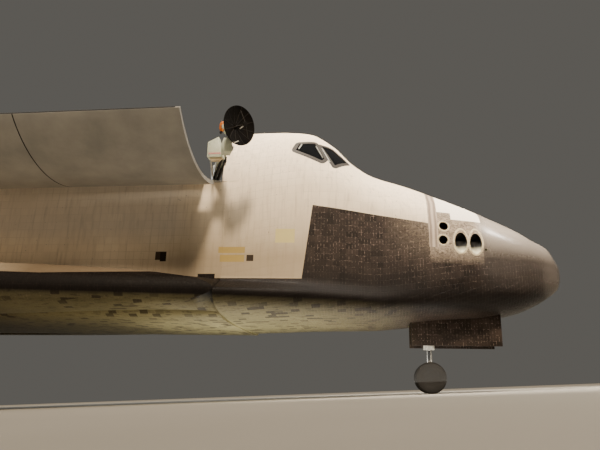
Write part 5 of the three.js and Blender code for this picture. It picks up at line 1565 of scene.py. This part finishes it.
def make_antenna():
    reach = ANTENNA["reach"]
    boom = made(boom_rows(reach, ANTENNA["arm_low"], ANTENNA["arm_top"]))
    fitted(boom, "swing_arm", "antenna_boom", ["antenna_boom"], bevel=0.22)

    pivot = antenna_spot(reach, 0, 0)
    trunnion = rod(dish_spot(0, -4.4), dish_spot(0, 4.4), DISH["trunnion"], sides=40)
    gimbal = [("turntable", upright(pivot, 436.2, 438.4, 4.2), BOX_PAINT),
              ("neck", upright(pivot, 438, ANTENNA["height"], 1.6), MACHINED),
              ("trunnion", trunnion, BOX_PAINT)]
    gimbal += [("flange", rod(dish_spot(0, side * 4.0), dish_spot(0, side * 4.4), 2.3, sides=32), MACHINED)
               for side in (-1, 1)]
    fitted(made(gimbal), "two_axis_mount", "antenna_gimbal", ["antenna_gimbal"], bevel=0.15)

    dish = made(dish_rows(DISH["hub"], DISH["radius"]))
    fitted(dish, "dish_and_feed", "antenna_dish", ["antenna_dish"], bevel=0.1)
    bag = turned([(0, 0), (1.4, 0.1), (2.3, 1.6), (2.7, 5), (2.4, 8), (1.2, 9.6), (0, 10)],
                 dish_spot(-9.6, 0, -1.4), dish_spot(-9.4, 0, 8.6), 28)
    cover = solid("cover", bag, ORANGE_CLOTH)
    step = cover.modifiers.new("split", "SUBSURF")
    step.levels = step.render_levels = 1
    crease = bpy.data.textures.new("creases", "CLOUDS")
    crease.noise_scale = 0.05
    fold = cover.modifiers.new("folds", "DISPLACE")
    fold.texture, fold.strength, fold.mid_level = crease, 0.035, 0.5
    bpy.context.view_layer.update()
    applied(cover)
    fitted([cover], "orange_cover", "antenna_dish")


# Landing gear
GROUND = {"height": 142, "station": 1613, "slope": 0.0559}
MAIN_GEAR = {"station": 1174, "side": 136, "radius": 22.25, "width": 16, "apart": 36}
NOSE_GEAR = {"station": 378, "side": 0, "radius": 16, "width": 8.8, "apart": 22}
AXLE_SHARE = 0.17
CLEAR = 0.5
FLAT_WHEEL = math.cos(math.pi / 24)  # the solid's wheel stands on a flat of its 24 sides


def axle_height(gear):
    """How high the axle is over the ground's slope under the wheel."""
    ground = GROUND["height"] + (GROUND["station"] - gear["station"]) * GROUND["slope"]
    return ground + gear["radius"] * FLAT_WHEEL / math.cos(PITCH)


def wheels(gear, side, name, body):
    r, w = gear["radius"] * FLAT_WHEEL, gear["width"]
    half = gear["apart"] / 2
    height = axle_height(gear)
    rim = gear["radius"] * 0.5

    def across(profile):
        return turned([(a, d + 100) for a, d in profile], (gear["station"], side - 100, height),
                      (gear["station"], side + 100, height), 96)

    pieces = []
    for centre in (-half, half):
        flank = [(rim * 0.98, 0.42), (rim * 1.1, 0.46), (rim * 1.3, 0.49), (r * 0.86, 0.5), (r * 0.94, 0.43),
                 (r * 0.98, 0.33), (r, 0.2)]
        grooves = [(r, -0.15), (r - 0.5, -0.14), (r - 0.5, -0.11), (r, -0.1), (r, -0.02), (r - 0.5, -0.015),
                   (r - 0.5, 0.015), (r, 0.02), (r, 0.1), (r - 0.5, 0.11), (r - 0.5, 0.14), (r, 0.15)]
        tyre = [(a, centre - w * d) for a, d in flank] + [(a, centre + w * d) for a, d in grooves]
        tyre += [(a, centre + w * d) for a, d in flank[::-1]]
        pieces.append(solid("tyre", across(tyre), RUBBER))
        hub = [(0, -0.3), (rim * 0.3, -0.3), (rim * 0.36, -0.22), (rim * 0.72, -0.24), (rim * 0.8, -0.36),
               (rim, -0.41), (rim, 0.41), (rim * 0.8, 0.36), (rim * 0.72, 0.24), (rim * 0.36, 0.22),
               (rim * 0.3, 0.3), (0, 0.3)]
        pieces.append(solid("hub", across([(a, centre + w * d) for a, d in hub]), WHEEL_PAINT))
        outer = centre + math.copysign(w * 0.24, centre)
        for step in range(10):
            y, h = polar(rim * 0.6, 36 * step)
            bolt = [(gear["station"] + y, side + d, height + h) for d in (outer - 0.4, outer + 0.7)]
            pieces.append(solid("bolt", rod(*bolt, 0.6, sides=10), MACHINED))
    reach = half - w * 0.28
    pieces.append(solid("axle", across([(0, -reach), (gear["radius"] * AXLE_SHARE, -reach),
                                        (gear["radius"] * AXLE_SHARE, reach), (0, reach)]), CHROMED))
    fitted(pieces, f"rolling_{name}", body, [name], bevel=0.12)


def eye_of(centre, half, outer, inner):
    s, y, h = centre
    eye = solid("eye", rod((s, y - half, h), (s, y + half, h), outer, sides=64), WHITE_PAINT)
    bore = rod((s, y - half - 1, h), (s, y + half + 1, h), inner, sides=64)
    return carved(eye, cutter(bore, MACHINED))


def door_rows(well, span, drop, rib_span, rib_drop, ribs, thick):
    """A gear door with the ribs on its inner face: sides and heights of the panel, then of the ribs."""
    rows = [("door", block(well["front"] + 1, well["aft"] - 1, *span, *drop), BLACK_SKIN)]
    return rows + [("rib", block(station, station + thick, *rib_span, *rib_drop), PRIMER) for station in ribs]


SCISSOR = ((2, 14), (9, 16), (15, 34), (9, 52), (2, 54), (2, 49), (10, 34), (2, 19))


def make_gear():
    g, h, top = MAIN_GEAR, axle_height(MAIN_GEAR), MAIN_WELL["top"]
    s, y = g["station"], g["side"]
    for name, starboard in HANDS:
        hand = -1 if starboard else 1
        shapes = [
            ("piston", rod((s, y, h + 5.6), (s, y, 240), 4.2, sides=48), CHROMED),
            ("cylinder", rod((s, y, 238), (s, y, top - GAP), 6.6, sides=48), WHITE_PAINT),
            ("gland", rod((s, y, 238), (s, y, 243), 7.3, sides=48), MACHINED),
            ("brace", rod((s, y, 250), (s - 62, y, top - 3), 3.2, sides=32), WHITE_PAINT),
            ("trunnion", block(s - 6, s + 6, MAIN_WELL["inner"] + GAP, MAIN_WELL["outer"] - GAP, 304, 314),
             WHITE_PAINT),
            ("anchor", block(s - 68, s - 56, y - 12, y + 12, top - 8, top - GAP), WHITE_PAINT),
            ("scissor", prism([(s + a, h + b) for a, b in SCISSOR], y - 3, y + 3), WHITE_PAINT),
            ("pin", rod((s + 13, y - 3.6, h + 34), (s + 13, y + 3.6, h + 34), 0.9, sides=20), MACHINED),
            ("hose", pipe([(s - 5, y + 4.4, h + 8), (s - 6.4, y + 5, h + 26), (s - 5.6, y + 5.2, h + 50),
                           (s - 6.8, y + 4, h + 76)], 0.5), RUBBER)]
        leg = made(shapes, starboard)
        leg.append(eye_of((s, hand * y, h), 7, 8, g["radius"] * AXLE_SHARE + CLEAR))
        fitted(leg, f"main_strut_{name}", "airframe", [f"main_gear_leg_{name}"], bevel=0.25)
        wheels(g, hand * y, f"main_wheels_{name}", f"main_wheels_{name}")
        well, outer = MAIN_WELL, MAIN_WELL["outer"]
        lip = wing_floor(outer) - 0.4
        main = door_rows(well, (outer - 3.2, outer - 0.6), (lip - 58, lip + 6), (outer - 3.9, outer - 3.1),
                         (lip - 54, lip), np.linspace(well["front"] + 10, well["aft"] - 12, 6), 2)
        fitted(made(main, starboard), f"main_flap_{name}", "airframe", [f"main_gear_door_{name}"], bevel=0.4)
        well, half = NOSE_WELL, NOSE_WELL["half"]
        nose = door_rows(well, (half - 2.4, half - 0.4), (259, 291), (half - 3, half - 2.3), (262, 288),
                         np.linspace(well["front"] + 8, well["aft"] - 10, 5), 1.6)
        fitted(made(nose, starboard), f"nose_flap_{name}", "airframe", [f"nose_gear_door_{name}"], bevel=0.3)

    g, h, top = NOSE_GEAR, axle_height(NOSE_GEAR), NOSE_WELL["top"] - GAP
    s, half = g["station"], NOSE_WELL["half"]
    leg = [("cylinder", rod((s, 0, 262), (s, 0, top), 5.2, sides=48), WHITE_PAINT),
           ("brace", rod((s, 0, 272), (s - 44, 0, top - 4), 2.6, sides=32), WHITE_PAINT),
           ("anchor", block(s - 50, s - 38, -10, 10, top - 8, top), WHITE_PAINT),
           ("trunnion", block(s - 5, s + 5, GAP - half, half - GAP, 312, 321), WHITE_PAINT),
           ("band", rod((s, 0, 290), (s, 0, 294), 5.8, sides=48), MACHINED)]
    fitted(made(leg), "nose_strut", "airframe", ["nose_gear_leg"], bevel=0.2)
    fork = [eye_of((s, 0, h), 4, 5.4, g["radius"] * AXLE_SHARE + CLEAR)]
    fork += made([("piston", rod((s, 0, h + 3.8), (s, 0, 261.6), 3, sides=48), CHROMED),
                  ("collar", rod((s, 0, 256), (s, 0, 261.6), 5.8, sides=48), WHITE_PAINT)])
    fitted(fork, "nose_steering_fork", "nose_steering", ["nose_gear_fork"], bevel=0.15)
    wheels(g, 0, "nose_wheels", "nose_wheels")


# Window frames and thruster rims that lie on the hull

def rounded(outline, reach=2.2, steps=5, run=5):
    """A closed outline with its corners eased and its straight parts split up."""
    p = [np.array(q, float) for q in outline]
    way = []
    for a, b, c in zip(p[-1:] + p[:-1], p, p[1:] + p[:1]):
        way += list(eased(a, b, c, reach, steps))
    dense = []
    for a, b in zip(way, way[1:] + way[:1]):
        parts = max(1, int(np.linalg.norm(b - a) / run + 0.5))
        dense += [a + (b - a) * k / parts for k in range(parts)]
    return dense


def band_on_hull(points, direction, profile, coat, name):
    path, ups = on_skin(points, direction)
    return solid(name, swept(path, ups, profile), coat)


def strip_profile(half, low, high):
    """A low strip with eased edges: half its width, and its lower and upper side over the skin."""
    return [(-half, low), (-half, high * 0.6), (-half * 0.5, high), (half * 0.5, high), (half, high * 0.6),
            (half, low)]


OUTSIDE, BEFORE = 190, 400  # a side out of the hull and a station before the windows
# bars on the panes: low end, high end, half width
PANE_BARS = [((511.4, 455), (508.8, 462), 0.5), ((486, 444), (494, 460.5), 0.3),
             ((478.6, 439), (488, 458.4), 0.75)]


def make_frames():
    pieces = []
    outlines = [([(s, OUTSIDE, h) for s, h in rounded(outline)], (0, -1, 0))
                for outline in SIDE_WINDOWS.values()]
    outlines.append(([(BEFORE, y, h) for y, h in rounded(FRONT_WINDOW)], (1, 0, 0)))
    for points, direction in outlines:
        for hand in (1, -1):
            spots = [(s, hand * y, h) for s, y, h in points]
            way = (direction[0], hand * direction[1], direction[2])
            profile = strip_profile(2.1, -0.6, 0.28)
            pieces.append(band_on_hull(spots, way, profile, DARK_FRAME, "retainer"))
    for low, high, wide in PANE_BARS:
        for hand in (1, -1):
            line = [(low[0] + (high[0] - low[0]) * k, hand * OUTSIDE, low[1] + (high[1] - low[1]) * k)
                    for k in np.linspace(0, 1, 6)]
            path, ups = on_skin(line, (0, -hand, 0))
            bar = swept(path, ups, strip_profile(wide, -1, 0.3), closed=False)
            pieces.append(solid("bar", bar, FEED_GREY))
    fitted(pieces, "window_retainers", "airframe", bevel=0)

    rims = []
    for station, side, height, aim, radius in THRUSTERS:
        line = np.array(aim, float) / np.linalg.norm(aim)
        level = np.cross(line, (0, 0, 1.0))
        level /= np.linalg.norm(level)
        rise = np.cross(level, line)
        for hand in (1, -1):
            mirror = np.array([1, hand, 1])
            spots = []
            for a in np.linspace(0, 2 * math.pi, 64, endpoint=False):
                at = np.array([station, side, height]) + 30 * line
                at += radius * 1.04 * (math.cos(a) * level + math.sin(a) * rise)
                spots.append(at * mirror)
            wide = 1.0 if radius > 6 else 0.9
            rims.append(band_on_hull(spots, -line * mirror, strip_profile(wide, -0.5, 0.22), PALE_RIM, "rim"))
    fitted(rims, "thruster_rims", "airframe")


make_forward_body()
make_frames()
make_mid_body()
make_aft_body()
make_wings()
make_body_flap()
make_fin()
make_pods()
make_engines()
make_doors()
make_antenna()
make_gear()
deck = frame["nodes"]["flight_deck"].data.materials
deck.clear()
deck.append(CABIN)
